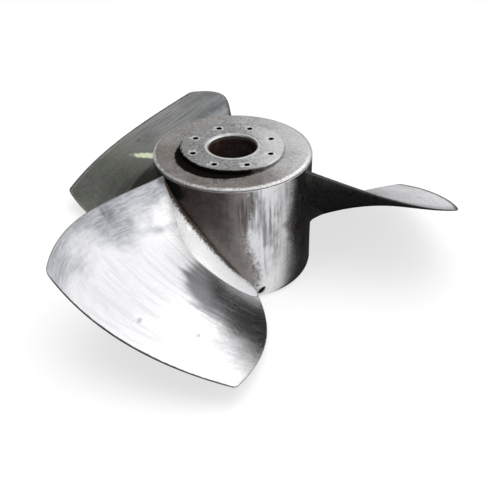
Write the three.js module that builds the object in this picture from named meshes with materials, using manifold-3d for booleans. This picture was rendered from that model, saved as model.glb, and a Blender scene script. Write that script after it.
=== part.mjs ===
// Runner of an axial-flow water turbine: a hollow welded hub with three fixed screw-shaped blades.
// Millimetres, +Z up the shaft axis towards the shaft flange. The model's origin is the centre of
// mass. Inside the runner group, height 0 is the upper face of the hub's top plate.

import * as THREE from 'three';
import { mergeVertices } from 'three/addons/utils/BufferGeometryUtils.js';
import Module from 'manifold-3d';

const wasm = await Module();
wasm.setup();

// Main sizes
const runnerRadius = 900;
const barrelRadius = 318;
const barrelWall = 50;
const hubHeight = 524;
const massCentreDepth = 248.5;
const bladeCount = 3;
const bladeSpacing = -2 * Math.PI / bladeCount;
const fitGap = 0.3;
const rootGap = 0.6;
const roundSegments = 72;
const mergeTolerance = 1e-4;
const collapsedArea = 1e-6;
const radian = Math.PI / 180;

// Top plate, shaft boss and bore
const plateRadius = 316;
const plateThickness = 30;
const plateRimHeight = 12;
const plateEdgeWidth = 18;
const plateEdgeDrop = 9;
const edgeArcSteps = 5;
const grooveDepth = 2.5;
const beadInset = 0.6;
const beadHalfHeight = 1;
const bossRadius = 207;
const bossRise = 14;
const bossDepth = 56;
const bossChamfer = 3;
const boltHoleCount = 8;
const boltCircleRadius = 165;
const boltHoleRadius = 10.5;
const boltHoleDepth = 50;
const boltHoleSegments = 12;
const firstBoltAngle = 19 * radian;
const boreRadius = 97;
const sleeveWall = 16;
const boreChamfer = 5;

// Ring and ribs inside the hub
const barrelFootRadius = 32;
const ringInnerRadius = 205;
const ringThickness = 30;
const ringRecess = 8;
const ribCount = 6;
const ribThickness = 16;
const filletLeg = 7;

// Blade: a screw surface between a leading and a trailing edge, both curved in plan.
// Angles are in degrees round the axis, lengths in millimetres, span runs 0 at the hub to 1 at the tip.
const leadingAngle = { root: 212.1, linear: -0.5, square: -7.6, cube: 18.8, inward: 1 };
const trailingAngle = { root: 285.5, linear: 0.2, square: -25.7, cube: 9.5, inward: -1 };
const leadingEdge = { rootHeight: -16.5, droop: -61, sag: -9 };
const trailingEdge = { rootHeight: -482, droop: -53, sag: -7 };
const pitchPerRadian = 346;
const rootCamber = 11;
const tipCamber = -12;
const middleCamber = -4;
const rootReflex = 41;
const tipReflex = -35;
const rootThickness = 110;
const tipThickness = 8;
const rootEdgeThickness = 14;
const tipEdgeThickness = 4;
const noseShare = 0.02;
const thinningRate = 1.6;
const cornerRadius = 18;
const cornerShare = cornerRadius / (runnerRadius - barrelRadius);
const spanSteps = 12;
const cornerSteps = 3;
const chordSteps = 20;
const depthSteps = 4;

// Root fillets, where the blades run into the barrel
const filletSteps = 18;
const filletStart = 0.05;
const filletEnd = 0.97;
const filletBury = 3;
const buriedSpan = -0.03;
const cutterAxisRadius = 0.01;
const cutterOverrun = 10;
const filletCorners = 5;
const upperFillet = {
  riseAtEnds: 4,
  riseMiddle: 6,
  reachAtEnds: 35,
  reachMiddle: 65,
  fullness: 0.35,
  hollowAt: 0.5,
  hollowRise: 0.52,
  toe: 1.5,
};
const underFillet = {
  riseAtEnds: 7,
  riseMiddle: 16,
  reachAtEnds: 8,
  reachMiddle: 45,
  fullness: 1,
  hollowAt: 0.28,
  hollowRise: 0.3,
  toe: 0.8,
};

// Finishes
const machinedSteel = { color: 0x9a9794, roughness: 0.42, metalness: 0.85 };
const barrelSteel = { color: 0x6f6863, roughness: 0.5, metalness: 0.8 };
const groundSteel = { color: 0xc4c6c8, roughness: 0.3, metalness: 0.9 };
const innerSteel = { color: 0x5a4a40, roughness: 0.7, metalness: 0.6 };
const weldSteel = { color: 0x8c8884, roughness: 0.45, metalness: 0.8 };

function namedMesh(name, geometry, finish) {
  const mesh = new THREE.Mesh(geometry, new THREE.MeshStandardMaterial(finish));
  mesh.name = name;
  return mesh;
}

// A ring or tube about the axis. The outline is a closed run of [radius, height] points, anticlockwise.
function turnedRing(outline) {
  const points = [...outline, outline[0]].map(([radius, height]) => new THREE.Vector2(radius, height));
  const geometry = new THREE.LatheGeometry(points, roundSegments);
  geometry.rotateX(Math.PI / 2);
  return geometry;
}

// Points of a rounded edge: a quarter of an ellipse about a centre, from one angle to another.
function roundedEdge(centreRadius, centreHeight, width, height, fromAngle, toAngle) {
  const points = [];
  for (let i = 0; i <= edgeArcSteps; i++) {
    const angle = fromAngle + (toAngle - fromAngle) * i / edgeArcSteps;
    points.push([centreRadius + width * Math.cos(angle), centreHeight + height * Math.sin(angle)]);
  }
  return points;
}

function toSolid(geometry) {
  const shape = geometry.clone();
  shape.deleteAttribute('normal');
  shape.deleteAttribute('uv');
  const merged = mergeVertices(shape, mergeTolerance);
  const vertProperties = new Float32Array(merged.attributes.position.array);
  const triVerts = new Uint32Array(merged.index.array);
  return new wasm.Manifold(new wasm.Mesh({ numProp: 3, vertProperties, triVerts }));
}

function toGeometry(solid) {
  const mesh = solid.getMesh();
  const geometry = new THREE.BufferGeometry();
  geometry.setAttribute('position', new THREE.BufferAttribute(mesh.vertProperties, 3));
  geometry.setIndex(new THREE.BufferAttribute(mesh.triVerts, 1));
  geometry.computeVertexNormals();
  return geometry;
}

// Triangles of a surface given as a point function on a grid. Collapsed triangles are left out.
function patch(columns, rows, pointAt) {
  const triangles = [];
  const addTriangle = (a, b, c) => {
    const area = b.clone().sub(a).cross(c.clone().sub(a)).length();
    if (area > collapsedArea) triangles.push(a, b, c);
  };
  for (let i = 0; i < columns; i++) {
    for (let j = 0; j < rows; j++) {
      const near = pointAt(i / columns, j / rows);
      const right = pointAt((i + 1) / columns, j / rows);
      const far = pointAt((i + 1) / columns, (j + 1) / rows);
      const left = pointAt(i / columns, (j + 1) / rows);
      addTriangle(near, right, far);
      addTriangle(near, far, left);
    }
  }
  return triangles;
}

// One closed body from patches that share their border points.
function closedBody(patches) {
  const geometry = new THREE.BufferGeometry().setFromPoints(patches.flat());
  const merged = mergeVertices(geometry, mergeTolerance);
  merged.computeVertexNormals();
  return merged;
}

// How far an edge turns inward to round its corner at the tip.
function cornerTurn(span) {
  const into = Math.max(span - 1 + cornerShare, 0) / cornerShare;
  return cornerRadius / runnerRadius * (1 - Math.sqrt(Math.max(1 - into ** 2, 0)));
}

function edgeAngle(edge, span) {
  const swept = edge.root + edge.linear * span + edge.square * span ** 2 + edge.cube * span ** 3;
  return swept * radian + edge.inward * cornerTurn(span);
}

// Height of an edge: it follows the common pitch as its angle changes, and droops towards the tip.
function edgeHeight(edge, angles, span) {
  const turned = edgeAngle(angles, span) - angles.root * radian;
  const sag = edge.sag * 4 * span * (1 - span);
  return edge.rootHeight - pitchPerRadian * turned + edge.droop * span + sag;
}

// Angle and height of the blade's upper face, between its two edges, at one span and chord.
function screwFace(span, chord) {
  const startAngle = edgeAngle(leadingAngle, span);
  const endAngle = edgeAngle(trailingAngle, span);
  const startHeight = edgeHeight(leadingEdge, leadingAngle, span);
  const endHeight = edgeHeight(trailingEdge, trailingAngle, span);
  const camber = rootCamber + (tipCamber - rootCamber) * span + middleCamber * 4 * span * (1 - span);
  const reflex = rootReflex + (tipReflex - rootReflex) * span;
  const bow = chord * (1 - chord);
  return {
    angle: startAngle + (endAngle - startAngle) * chord,
    height: startHeight + (endHeight - startHeight) * chord + bow * (4 * camber + reflex * (1 - 2 * chord)),
  };
}

// Unit normal of the upper face in the unrolled cylinder at this radius: along the angle, and up.
function sectionNormal(radius, span, chord) {
  const step = 0.001;
  const before = screwFace(span, chord - step);
  const after = screwFace(span, chord + step);
  const along = radius * (after.angle - before.angle);
  const up = after.height - before.height;
  const length = Math.hypot(along, up);
  return { along: -up / length, up: along / length };
}

// Depth of the upper and lower faces under the screw surface: a round nose, an aerofoil's swelling
// with its thickest place a third of the way back, and a square trailing edge.
function faceDepths(span, chord) {
  const edge = rootEdgeThickness + (tipEdgeThickness - rootEdgeThickness) * span;
  const thinning = (1 - Math.exp(-thinningRate * span)) / (1 - Math.exp(-thinningRate));
  const thickest = rootThickness + (tipThickness - rootThickness) * thinning;
  const swelling = 1.5 * Math.sqrt(3) * Math.sqrt(chord) * (1 - chord);
  const nose = Math.min(chord / noseShare, 1);
  const round = Math.sqrt(1 - (1 - nose) ** 2);
  return {
    upper: edge * (1 - round) / 2,
    lower: edge * (1 + round) / 2 + (thickest - edge) * swelling,
  };
}

function radiusAt(span) {
  const rootRadius = barrelRadius + rootGap;
  return rootRadius + (runnerRadius - rootRadius) * span;
}

// Point of the blade at a share of its depth, 0 on the upper face and 1 on the lower one.
// The margin grows both faces outward, for cutting a neighbour clear of the blade.
function bladePoint(span, chord, share, margin = 0) {
  const radius = radiusAt(span);
  const face = screwFace(span, chord);
  const normal = sectionNormal(radius, span, chord);
  const depths = faceDepths(span, chord);
  const top = depths.upper - margin;
  const depth = top + (depths.lower + margin - top) * share;
  const angle = face.angle - depth * normal.along / radius;
  const height = face.height - depth * normal.up;
  return new THREE.Vector3(radius * Math.cos(angle), radius * Math.sin(angle), height);
}

// Chord stations crowd towards the nose and, less, towards the trailing edge.
function chordStation(t) {
  return (1 - Math.cos(Math.PI * t)) / 2;
}

// Stations from the hub to the tip, evenly spaced up to the rounded corners.
function spanStations() {
  const straight = 1 - cornerShare;
  const stations = [];
  for (let i = 0; i <= spanSteps; i++) stations.push(straight * i / spanSteps);
  for (let i = 1; i <= cornerSteps; i++) {
    stations.push(straight + cornerShare * Math.sin(i / cornerSteps * Math.PI / 2));
  }
  return stations;
}

function bladeGeometry(margin = 0, spans = spanStations()) {
  const steps = spans.length - 1;
  const at = (spanShare, chordShare, depthShare) => {
    const span = spans[Math.round(spanShare * steps)];
    return bladePoint(span, chordStation(chordShare), depthShare, margin);
  };
  return closedBody([
    patch(steps, chordSteps, (i, j) => at(i, j, 0)),
    patch(chordSteps, steps, (i, j) => at(j, i, 1)),
    patch(steps, depthSteps, (i, j) => at(i, 1, j)),
    patch(depthSteps, steps, (i, j) => at(j, 0, i)),
    patch(depthSteps, chordSteps, (i, j) => at(1, j, i)),
    patch(chordSteps, depthSteps, (i, j) => at(0, i, j)),
  ]);
}

const bladeCutter = toSolid(bladeGeometry(fitGap, [buriedSpan, ...spanStations()]));
const barrelCutter = toSolid(turnedRing([
  [cutterAxisRadius, -hubHeight - cutterOverrun],
  [barrelRadius + fitGap, -hubHeight - cutterOverrun],
  [barrelRadius + fitGap, cutterOverrun],
  [cutterAxisRadius, cutterOverrun],
]));

// Cross-section of a root fillet at one chord, on the upper face (side 1) or the lower one (side -1).
// Its corners run from the buried one up the barrel, over the hollow face and down to the toe on the blade.
function filletSection(size, side, chord) {
  const along = (chord - filletStart) / (filletEnd - filletStart);
  const bulge = Math.max(Math.sin(Math.PI * along), 0) ** size.fullness;
  const rise = size.riseAtEnds + size.riseMiddle * bulge;
  const reach = size.reachAtEnds + size.reachMiddle * bulge;
  const spanLength = runnerRadius - barrelRadius;
  const corner = (outward, away) => {
    const span = outward / spanLength;
    const radius = radiusAt(span);
    const face = screwFace(span, chord);
    const normal = sectionNormal(radius, span, chord);
    const depths = faceDepths(span, chord);
    const depth = side > 0 ? depths.upper - away : depths.lower + away;
    const angle = face.angle - depth * normal.along / radius;
    return new THREE.Vector3(
      radius * Math.cos(angle),
      radius * Math.sin(angle),
      face.height - depth * normal.up,
    );
  };
  return [
    corner(-filletBury, -filletBury),
    corner(-filletBury, rise + filletBury),
    corner(reach * size.hollowAt, rise * size.hollowRise),
    corner(reach, size.toe),
    corner(reach + filletBury, -filletBury),
  ];
}

function filletGeometry(size, side) {
  const chordAt = (t) => filletStart + (filletEnd - filletStart) * t;
  const sections = [];
  for (let i = 0; i <= filletSteps; i++) sections.push(filletSection(size, side, chordAt(i / filletSteps)));
  const sideFace = (i, j) => sections[Math.round(i * filletSteps)][Math.round(j * filletCorners) % filletCorners];
  const endFace = (section) => section.slice(1, -1).flatMap((point, i) => [section[0], point, section[i + 2]]);
  const first = endFace(sections[0]);
  const last = endFace(sections[filletSteps]).reverse();
  const swept = patch(filletSteps, filletCorners, sideFace);
  const body = side > 0 ? [swept.reverse(), first.reverse(), last.reverse()] : [swept, first, last];
  const solid = toSolid(closedBody(body)).subtract(bladeCutter).subtract(barrelCutter);
  return toGeometry(solid);
}

function hubBarrel() {
  const inner = barrelRadius - barrelWall;
  const top = -plateRimHeight - fitGap;
  const footCentre = -hubHeight + barrelFootRadius;
  const foot = roundedEdge(barrelRadius - barrelFootRadius, footCentre, barrelFootRadius, barrelFootRadius,
    -Math.PI / 2, 0);
  const outline = [
    [inner, -hubHeight],
    ...foot,
    [barrelRadius, top - grooveDepth],
    [barrelRadius - grooveDepth, top],
    [inner, top],
  ];
  return namedMesh('hub_barrel', turnedRing(outline), barrelSteel);
}

// The plate's rim lies on the barrel, and its thicker middle is let into the barrel's mouth.
function hubTopPlate() {
  const edge = roundedEdge(plateRadius - plateEdgeWidth, -plateEdgeDrop, plateEdgeWidth, plateEdgeDrop,
    0, Math.PI / 2);
  const spigot = barrelRadius - barrelWall - fitGap;
  const outline = [
    [bossRadius + fitGap, -plateThickness],
    [spigot, -plateThickness],
    [spigot, -plateRimHeight],
    [plateRadius - grooveDepth, -plateRimHeight],
    ...edge,
    [bossRadius + fitGap, 0],
  ];
  return namedMesh('hub_top_plate', turnedRing(outline), machinedSteel);
}

// Weld bead in the groove between the top plate and the barrel.
function topPlateWeld() {
  const middle = -plateRimHeight - fitGap / 2;
  const outline = [
    [barrelRadius - grooveDepth, middle],
    [barrelRadius - 2 * beadInset, middle - beadHalfHeight],
    [barrelRadius - beadInset, middle],
    [barrelRadius - 2 * beadInset, middle + beadHalfHeight],
  ];
  return namedMesh('top_plate_weld', turnedRing(outline), weldSteel);
}

function boltHole(index) {
  const hole = new THREE.CylinderGeometry(boltHoleRadius, boltHoleRadius, 2 * boltHoleDepth, boltHoleSegments);
  hole.rotateX(Math.PI / 2);
  const angle = firstBoltAngle + index * 2 * Math.PI / boltHoleCount;
  hole.translate(boltCircleRadius * Math.cos(angle), boltCircleRadius * Math.sin(angle), bossRise);
  return toSolid(hole);
}

// Shaft boss: the machined flange face with its circle of tapped holes.
function shaftBoss() {
  const inner = boreRadius + sleeveWall + fitGap;
  let boss = toSolid(turnedRing([
    [inner, -bossDepth],
    [bossRadius, -bossDepth],
    [bossRadius, bossRise - bossChamfer],
    [bossRadius - bossChamfer, bossRise],
    [inner, bossRise],
  ]));
  for (let i = 0; i < boltHoleCount; i++) boss = boss.subtract(boltHole(i));
  return namedMesh('shaft_boss', toGeometry(boss), machinedSteel);
}

function boreSleeve() {
  const foot = -hubHeight + ringRecess;
  const outline = [
    [boreRadius, foot],
    [boreRadius + sleeveWall, foot],
    [boreRadius + sleeveWall, bossRise],
    [boreRadius + boreChamfer, bossRise],
    [boreRadius, bossRise - boreChamfer],
  ];
  return namedMesh('bore_sleeve', turnedRing(outline), machinedSteel);
}

function hubBottomRing() {
  const outer = barrelRadius - barrelWall - fitGap;
  const foot = -hubHeight + ringRecess;
  const outline = [
    [ringInnerRadius, foot],
    [outer, foot],
    [outer, foot + ringThickness],
    [ringInnerRadius, foot + ringThickness],
  ];
  return namedMesh('hub_bottom_ring', turnedRing(outline), innerSteel);
}

// Weld bead under the bottom ring, in its corner with the barrel.
function bottomRingWeld() {
  const outer = barrelRadius - barrelWall - fitGap;
  const top = -hubHeight + ringRecess - fitGap;
  const outline = [
    [outer - filletLeg, top],
    [outer, top - filletLeg],
    [outer, top],
  ];
  return namedMesh('bottom_ring_weld', turnedRing(outline), weldSteel);
}

// Radial rib between the bore sleeve and the barrel, notched round the shaft boss.
function hubRib(index) {
  const inner = boreRadius + sleeveWall + fitGap;
  const notch = bossRadius + 2 * fitGap;
  const outer = barrelRadius - barrelWall - 2 * fitGap;
  const foot = -hubHeight + ringRecess + ringThickness + fitGap;
  const outline = new THREE.Shape();
  outline.moveTo(inner, foot);
  outline.lineTo(outer, foot);
  outline.lineTo(outer, -plateThickness - fitGap);
  outline.lineTo(notch, -plateThickness - fitGap);
  outline.lineTo(notch, -bossDepth - fitGap);
  outline.lineTo(inner, -bossDepth - fitGap);
  outline.closePath();
  const geometry = new THREE.ExtrudeGeometry(outline, { depth: ribThickness, bevelEnabled: false });
  geometry.translate(0, 0, -ribThickness / 2);
  geometry.rotateX(Math.PI / 2);
  const rib = namedMesh(`hub_rib_${index + 1}`, geometry, innerSteel);
  rib.rotation.z = index * 2 * Math.PI / ribCount;
  return rib;
}

// A blade with the fillets at its root, turned to its place round the hub.
function bladeGroup(index, shapes) {
  const group = new THREE.Group();
  const number = index + 1;
  group.add(namedMesh(`blade_${number}`, shapes.blade, groundSteel));
  group.add(namedMesh(`blade_${number}_upper_fillet`, shapes.upper, groundSteel));
  group.add(namedMesh(`blade_${number}_under_fillet`, shapes.under, weldSteel));
  group.rotation.z = index * bladeSpacing;
  return group;
}

function turbineRunner() {
  const runner = new THREE.Group();
  runner.position.z = massCentreDepth;
  runner.add(hubBarrel(), hubTopPlate(), topPlateWeld(), shaftBoss(), boreSleeve());
  runner.add(hubBottomRing(), bottomRingWeld());
  for (let i = 0; i < ribCount; i++) runner.add(hubRib(i));
  const shapes = {
    blade: bladeGeometry(),
    upper: filletGeometry(upperFillet, 1),
    under: filletGeometry(underFillet, -1),
  };
  for (let i = 0; i < bladeCount; i++) runner.add(bladeGroup(i, shapes));
  return runner;
}

const model = new THREE.Group();
model.add(turbineRunner());

export default model;
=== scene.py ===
import math

import bmesh
import bpy
import numpy as np
from bpy.props import FloatProperty, FloatVectorProperty, IntProperty, PointerProperty
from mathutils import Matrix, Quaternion, Vector


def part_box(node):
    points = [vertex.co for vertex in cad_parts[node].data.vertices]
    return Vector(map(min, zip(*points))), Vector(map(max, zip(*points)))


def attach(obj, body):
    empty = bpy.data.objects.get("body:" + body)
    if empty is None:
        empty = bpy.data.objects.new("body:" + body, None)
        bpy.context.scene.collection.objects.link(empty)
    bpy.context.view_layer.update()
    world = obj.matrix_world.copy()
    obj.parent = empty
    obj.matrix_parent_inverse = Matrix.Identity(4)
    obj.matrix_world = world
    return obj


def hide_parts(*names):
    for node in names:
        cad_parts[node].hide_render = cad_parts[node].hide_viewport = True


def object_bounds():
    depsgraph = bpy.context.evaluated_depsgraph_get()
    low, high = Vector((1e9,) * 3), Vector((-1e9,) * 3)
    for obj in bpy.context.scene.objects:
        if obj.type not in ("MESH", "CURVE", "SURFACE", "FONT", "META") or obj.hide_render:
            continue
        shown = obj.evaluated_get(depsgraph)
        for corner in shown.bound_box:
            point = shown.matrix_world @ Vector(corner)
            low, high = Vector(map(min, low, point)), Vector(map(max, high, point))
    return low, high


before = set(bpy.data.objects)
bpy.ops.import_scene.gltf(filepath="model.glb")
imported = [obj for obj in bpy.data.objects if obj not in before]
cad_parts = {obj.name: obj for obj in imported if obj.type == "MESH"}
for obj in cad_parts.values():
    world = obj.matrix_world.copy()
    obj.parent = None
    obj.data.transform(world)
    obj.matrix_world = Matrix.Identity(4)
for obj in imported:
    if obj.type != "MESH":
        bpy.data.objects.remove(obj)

bl_info = {
    "name": "Turbine Runner",
    "version": (1, 0, 0),
    "blender": (4, 5, 0),
    "location": "View3D > Sidebar > Runner",
    "description": "Builds the finished surfaces of a three-bladed turbine runner round its solid model",
    "category": "Object",
}


def reach_of(box):
    """Outer radius, foot and top of a solid about the axis, from its box."""
    low, high = box
    return high.x, low.z, high.z


# Sizes read from the solid model
CAD_BOX = [list(corner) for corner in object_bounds()]
FLOOR_HEIGHT = CAD_BOX[0][2]
PLATE_RADIUS, PLATE_FOOT, PLATE_TOP = reach_of(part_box("hub_top_plate"))
BARREL_RADIUS, BARREL_FOOT, BARREL_TOP = reach_of(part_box("hub_barrel"))
BOSS_RADIUS, BOSS_FOOT, BOSS_TOP = reach_of(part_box("shaft_boss"))
SLEEVE_RADIUS, SLEEVE_FOOT = reach_of(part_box("bore_sleeve"))[:2]
RING_RADIUS, RING_FOOT, RING_TOP = reach_of(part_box("hub_bottom_ring"))
RIB_OUTER, RIB_FOOT, RIB_TOP = reach_of(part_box("hub_rib_1"))

TURN = 2 * math.pi
BLADES = 3
RIBS = 6
# Blade behind the hub, painted darker with an olive tint and given a painted highlight streak
BLADE_BEHIND_HUB = 2
GREY_EDGED_BLADE = 3
FIT_GAP = 0.0003
ROOT_GAP = 0.0006
MERGE_DISTANCE = 2e-6
SHARP_ANGLE = math.radians(40)
WHITE = (1.0, 1.0, 1.0, 1.0)

# Steps round the axis, and round the corners
BARREL_STEPS = 216
PLATE_STEPS = 256
BORE_STEPS = 192
CORNER_STEPS = 5
PLATE_EDGE_STEPS = 16
FOOT_STEPS = 20

# Steps along a face or an edge
WALL_STEPS = 110
PLATE_FACE_STEPS = 25
SPAN_STEPS = 64
SECTION_STEPS = 80
FILLET_STEPS = 140
FILLET_ROWS = 25
WELD_STEPS = 150

# One tapped hole's share of the boss face, and its thread
SIDE_STEPS = 16
RADIAL_STEPS = 14
THREAD_TURNS = 8.0
THREAD_STEPS = 6
HOLE_SEED = 5
SPOTS = 3

# Direction in degrees of the boss's shadowed side, where its painted shadow is darkest
SHADOWED_SIDE = 248

# Rounding of a blade's tip and of its trailing edge
TIP_ROUND = 0.002
EDGE_SHARE = 0.3


def length(name, default, description):
    return FloatProperty(name=name, description=description, default=default, precision=4, unit="LENGTH")


def lengths(name, default, description):
    return FloatVectorProperty(
        name=name, description=description, default=default, size=len(default), precision=4, unit="LENGTH")


def heading(name, degrees, description):
    return FloatProperty(name=name, description=description, default=math.radians(degrees), unit="ROTATION")


def ratio(name, default, description):
    return FloatProperty(name=name, description=description, default=default)


def sweep(name, degrees, description):
    values = [math.radians(value) for value in degrees]
    return FloatVectorProperty(
        name=name, description=description, default=values, size=len(values), precision=4, unit="ROTATION")


def colour(name, default, description):
    return FloatVectorProperty(
        name=name, description=description, default=(*default, 1.0), size=4, subtype="COLOR", min=0, max=1)


class HubSizes(bpy.types.PropertyGroup):
    wall: length("Wall", 0.05, "Thickness of the barrel's wall")
    foot_round: length("Foot rounding", 0.032, "Radius of the barrel's outer foot")
    rim_height: length("Plate rim", 0.012, "Height of the top plate's rim")
    edge_width: length("Edge width", 0.018, "Width of the top plate's rounded edge")
    edge_drop: length("Edge drop", 0.009, "Height of the top plate's rounded edge")
    groove: length("Groove", 0.0025, "Depth of the weld groove under the top plate")
    break_edge: length("Edge break", 0.0012, "Size of the broken edges on turned pieces")
    boss_chamfer: length("Boss chamfer", 0.003, "Chamfer round the shaft boss")
    bore_radius: length("Bore radius", 0.097, "Radius of the shaft bore")
    bore_chamfer: length("Bore chamfer", 0.005, "Chamfer at the mouth of the bore")
    hole_circle: length("Hole circle", 0.165, "Radius of the circle of tapped holes")
    hole_radius: length("Hole radius", 0.0105, "Radius of a tapped hole")
    hole_depth: length("Hole depth", 0.05, "Depth of a tapped hole")
    hole_mouth: length("Hole countersink", 0.0012, "Width of the countersink at a tapped hole")
    thread_pitch: length("Thread pitch", 0.003, "Rise of the thread in one turn")
    thread_depth: length("Thread depth", 0.0011, "Depth of the thread")
    ring_inner: length("Ring bore", 0.205, "Inner radius of the ring at the hub's foot")
    rib_thickness: length("Rib thickness", 0.016, "Thickness of the ribs inside the hub")
    weld_leg: length("Weld leg", 0.009, "Leg of the fillet welds inside the hub")
    first_hole: heading("First hole", 19, "Angle of the first tapped hole")
    seam_angle: heading("Seam angle", 279, "Angle of the barrel's lengthwise weld")
    holes: IntProperty(name="Holes", description="Tapped holes in the shaft boss", default=8, min=1)


class BladeSizes(bpy.types.PropertyGroup):
    tip_radius: length("Tip radius", 0.9, "Radius of the runner at the blade tips")
    tip_clearance: length("Tip dressing", 0.0009, "Metal taken off the tip by dressing it")
    leading_sweep: sweep(
        "Leading sweep", (212.1, -0.5, -7.6, 18.8), "Angle of the leading edge, by powers of span")
    trailing_sweep: sweep(
        "Trailing sweep", (285.5, 0.2, -25.7, 9.5), "Angle of the trailing edge, by powers of span")
    leading_heights: lengths("Leading heights", (-0.0165, -0.061, -0.009), "Root height, droop and sag")
    trailing_heights: lengths("Trailing heights", (-0.482, -0.053, -0.007), "Root height, droop and sag")
    pitch: length("Pitch", 0.346, "Fall of the screw surface per radian")
    camber: lengths("Camber", (0.011, -0.012, -0.004), "Camber at root and tip, and what is added midway")
    reflex: lengths("Reflex", (0.041, -0.035), "S-bend of the section at root and tip")
    thickness: lengths("Thickness", (0.11, 0.008), "Greatest thickness at root and tip")
    edge_thickness: lengths("Edge thickness", (0.014, 0.004), "Thickness of the edges at root and tip")
    thinning: ratio("Thinning", 1.6, "How fast the blade thins from the root")
    nose: ratio("Nose", 0.02, "Share of the chord that the round nose takes")
    corner: length("Corner", 0.018, "Radius of the corners at the tip, in plan")
    # The dark bands at the blades' edges and tips are painted shade.
    edge_bands: lengths("Edge bands", (0.006, 0.016, 0.016), "Width of the dark band at each blade's edges")
    tip_bands: lengths("Tip bands", (0.006, 0.028, 0.024), "Width of the dark band at each blade's tip")
    waviness: length("Waviness", 0.0005, "Depth of the waves left by hand grinding")
    upper_fillet: lengths("Upper fillet", (0.014, 0.0935), "Rise and reach of the fillet on the upper face")
    under_fillet: lengths("Under fillet", (0.023, 0.053), "Rise and reach of the fillet under the blade")
    fillet_toe: length("Fillet toe", 0.0016, "Height of the border that a root fillet leaves on the blade")


class RunnerFinishes(bpy.types.PropertyGroup):
    ground: colour("Ground steel", (0.80, 0.80, 0.815), "Bright hand-ground steel of the blades")
    dull: colour("Dull steel", (0.32, 0.33, 0.36), "Steel where the grinding is older")
    dressed: colour("Dressed weld", (0.95, 0.95, 0.96), "Weld metal ground bright at the blade roots")
    # Painted shade: this near-black colour stands for the shade under the blades and fillets, along the
    # blades' rims and at the barrel's right edge.
    scale: colour("Shaded steel", (0.0250, 0.0238, 0.0224), "Dark scale under the blades and on their edges")
    burnt: colour("Stained steel", (0.12, 0.12, 0.126), "Dark streaks near the trailing edges")
    turned: colour("Turned steel", (0.40, 0.39, 0.375), "Turned face of the plate")
    faced: colour("Faced steel", (0.375, 0.375, 0.375), "Finely faced top of the boss")
    tarnish: colour("Tarnish", (0.12, 0.12, 0.125), "Grey spots on the machined faces")
    barrel: colour("Barrel steel", (0.36, 0.335, 0.32), "Cleaned side of the barrel")
    brown: colour("Oxide", (0.075, 0.055, 0.046), "Brown oxide on the barrel and in the bore")
    # Grime colour: real dirt in runs and specks, and also painted shadow at the boss's foot, in the tapped
    # holes and by the blade roots.
    grime: colour("Grime", (0.004, 0.0037, 0.0031), "Oily dirt in corners and runs")
    rust: colour("Rust", (0.20, 0.075, 0.035), "Light rust inside the hub")
    bead: colour("Weld", (0.40, 0.38, 0.37), "Brushed weld metal")
    # Painted highlight: the pale streak on the blade behind the hub.
    smear: colour("Highlight", (0.66, 0.71, 0.52), "Pale smear on the blade behind the hub")
    # Painted shade: the olive tint over the blade behind the hub.
    olive: colour("Olive film", (0.84, 0.875, 0.72), "Thin film that tints the blade behind the hub")


class StageSettings(bpy.types.PropertyGroup):
    camera_place: lengths("Camera place", (0.0, -3.0499, 1.8623), "Where the camera stands")
    camera_aim: lengths("Camera aim", (0.0568, -0.0877, -0.1288), "Point that the camera looks at")
    camera_roll: heading("Camera roll", -0.75, "Turn of the camera about its view")
    lens: FloatProperty(name="Lens", description="Focal length in millimetres", default=62.4, unit="CAMERA")
    floor_radius: length("Floor radius", 40.0, "Radius of the floor")
    floor: colour("Floor", (0.92, 0.92, 0.915), "Pale floor")
    wash: FloatProperty(
        name="Wash", description="Share of plain white in the floor that the camera sees", default=0.70,
        subtype="FACTOR", min=0, max=1)


# Curves and grids of points

def unit_vectors(vectors):
    return vectors / np.linalg.norm(vectors, axis=-1, keepdims=True)


def softened(outline, size, steps=4):
    """Closed outline with each corner eased: a quadratic curve from one side to the other that starts and
    ends a set distance from the corner, with a guard point beyond each end. Gives points and edge marks."""
    largest_ease, guard = 0.3, 0.6
    corners = np.asarray(outline, float)
    back = np.roll(corners, 1, axis=0) - corners
    ahead = np.roll(corners, -1, axis=0) - corners
    room = np.minimum(np.linalg.norm(back, axis=1), np.linalg.norm(ahead, axis=1))
    ease = np.minimum(size, largest_ease * room)[:, None, None]
    start = corners[:, None] + unit_vectors(back)[:, None] * ease
    end = corners[:, None] + unit_vectors(ahead)[:, None] * ease
    t = np.linspace(0, 1, steps)[None, :, None]
    curve = (1 - t) ** 2 * start + 2 * t * (1 - t) * corners[:, None] + t ** 2 * end
    before = start + unit_vectors(back)[:, None] * ease * guard
    after = end + unit_vectors(ahead)[:, None] * ease * guard
    points = np.concatenate([before, curve, after], axis=1).reshape(-1, 2)
    return points, np.tile(np.r_[0, np.ones(steps), 0], len(corners))


def quarter(steps):
    return np.linspace(0, math.pi / 2, steps)


def ellipse_arc(centre, width, height, angles):
    """Points at centre + (width cos a, height sin a)."""
    return np.stack([centre[0] + width * np.cos(angles), centre[1] + height * np.sin(angles)], axis=1)


def circle_angles(count, start=0.0):
    return start + np.arange(count) * TURN / count


def close_at_ends(count):
    """Stations from nought to one that lie closer together at both ends: half of one less the cosine."""
    return (1 - np.cos(np.linspace(0, math.pi, count))) / 2


def polar(radius, angle, height):
    """Points x = r cos a, y = r sin a, z = height."""
    return np.stack(np.broadcast_arrays(radius * np.cos(angle), radius * np.sin(angle), height), axis=-1)


def turned(profile, angles):
    """Profile points (radius, height) carried round the axis."""
    return polar(profile[:, :1], angles, profile[:, 1:])


def beside_ray(out, across, height, angle):
    """Points given by their distance out along a ray from the axis, their distance across it and height."""
    x = out * math.cos(angle) - across * math.sin(angle)
    y = out * math.sin(angle) + across * math.cos(angle)
    return np.stack(np.broadcast_arrays(x, y, height), axis=-1)


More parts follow.
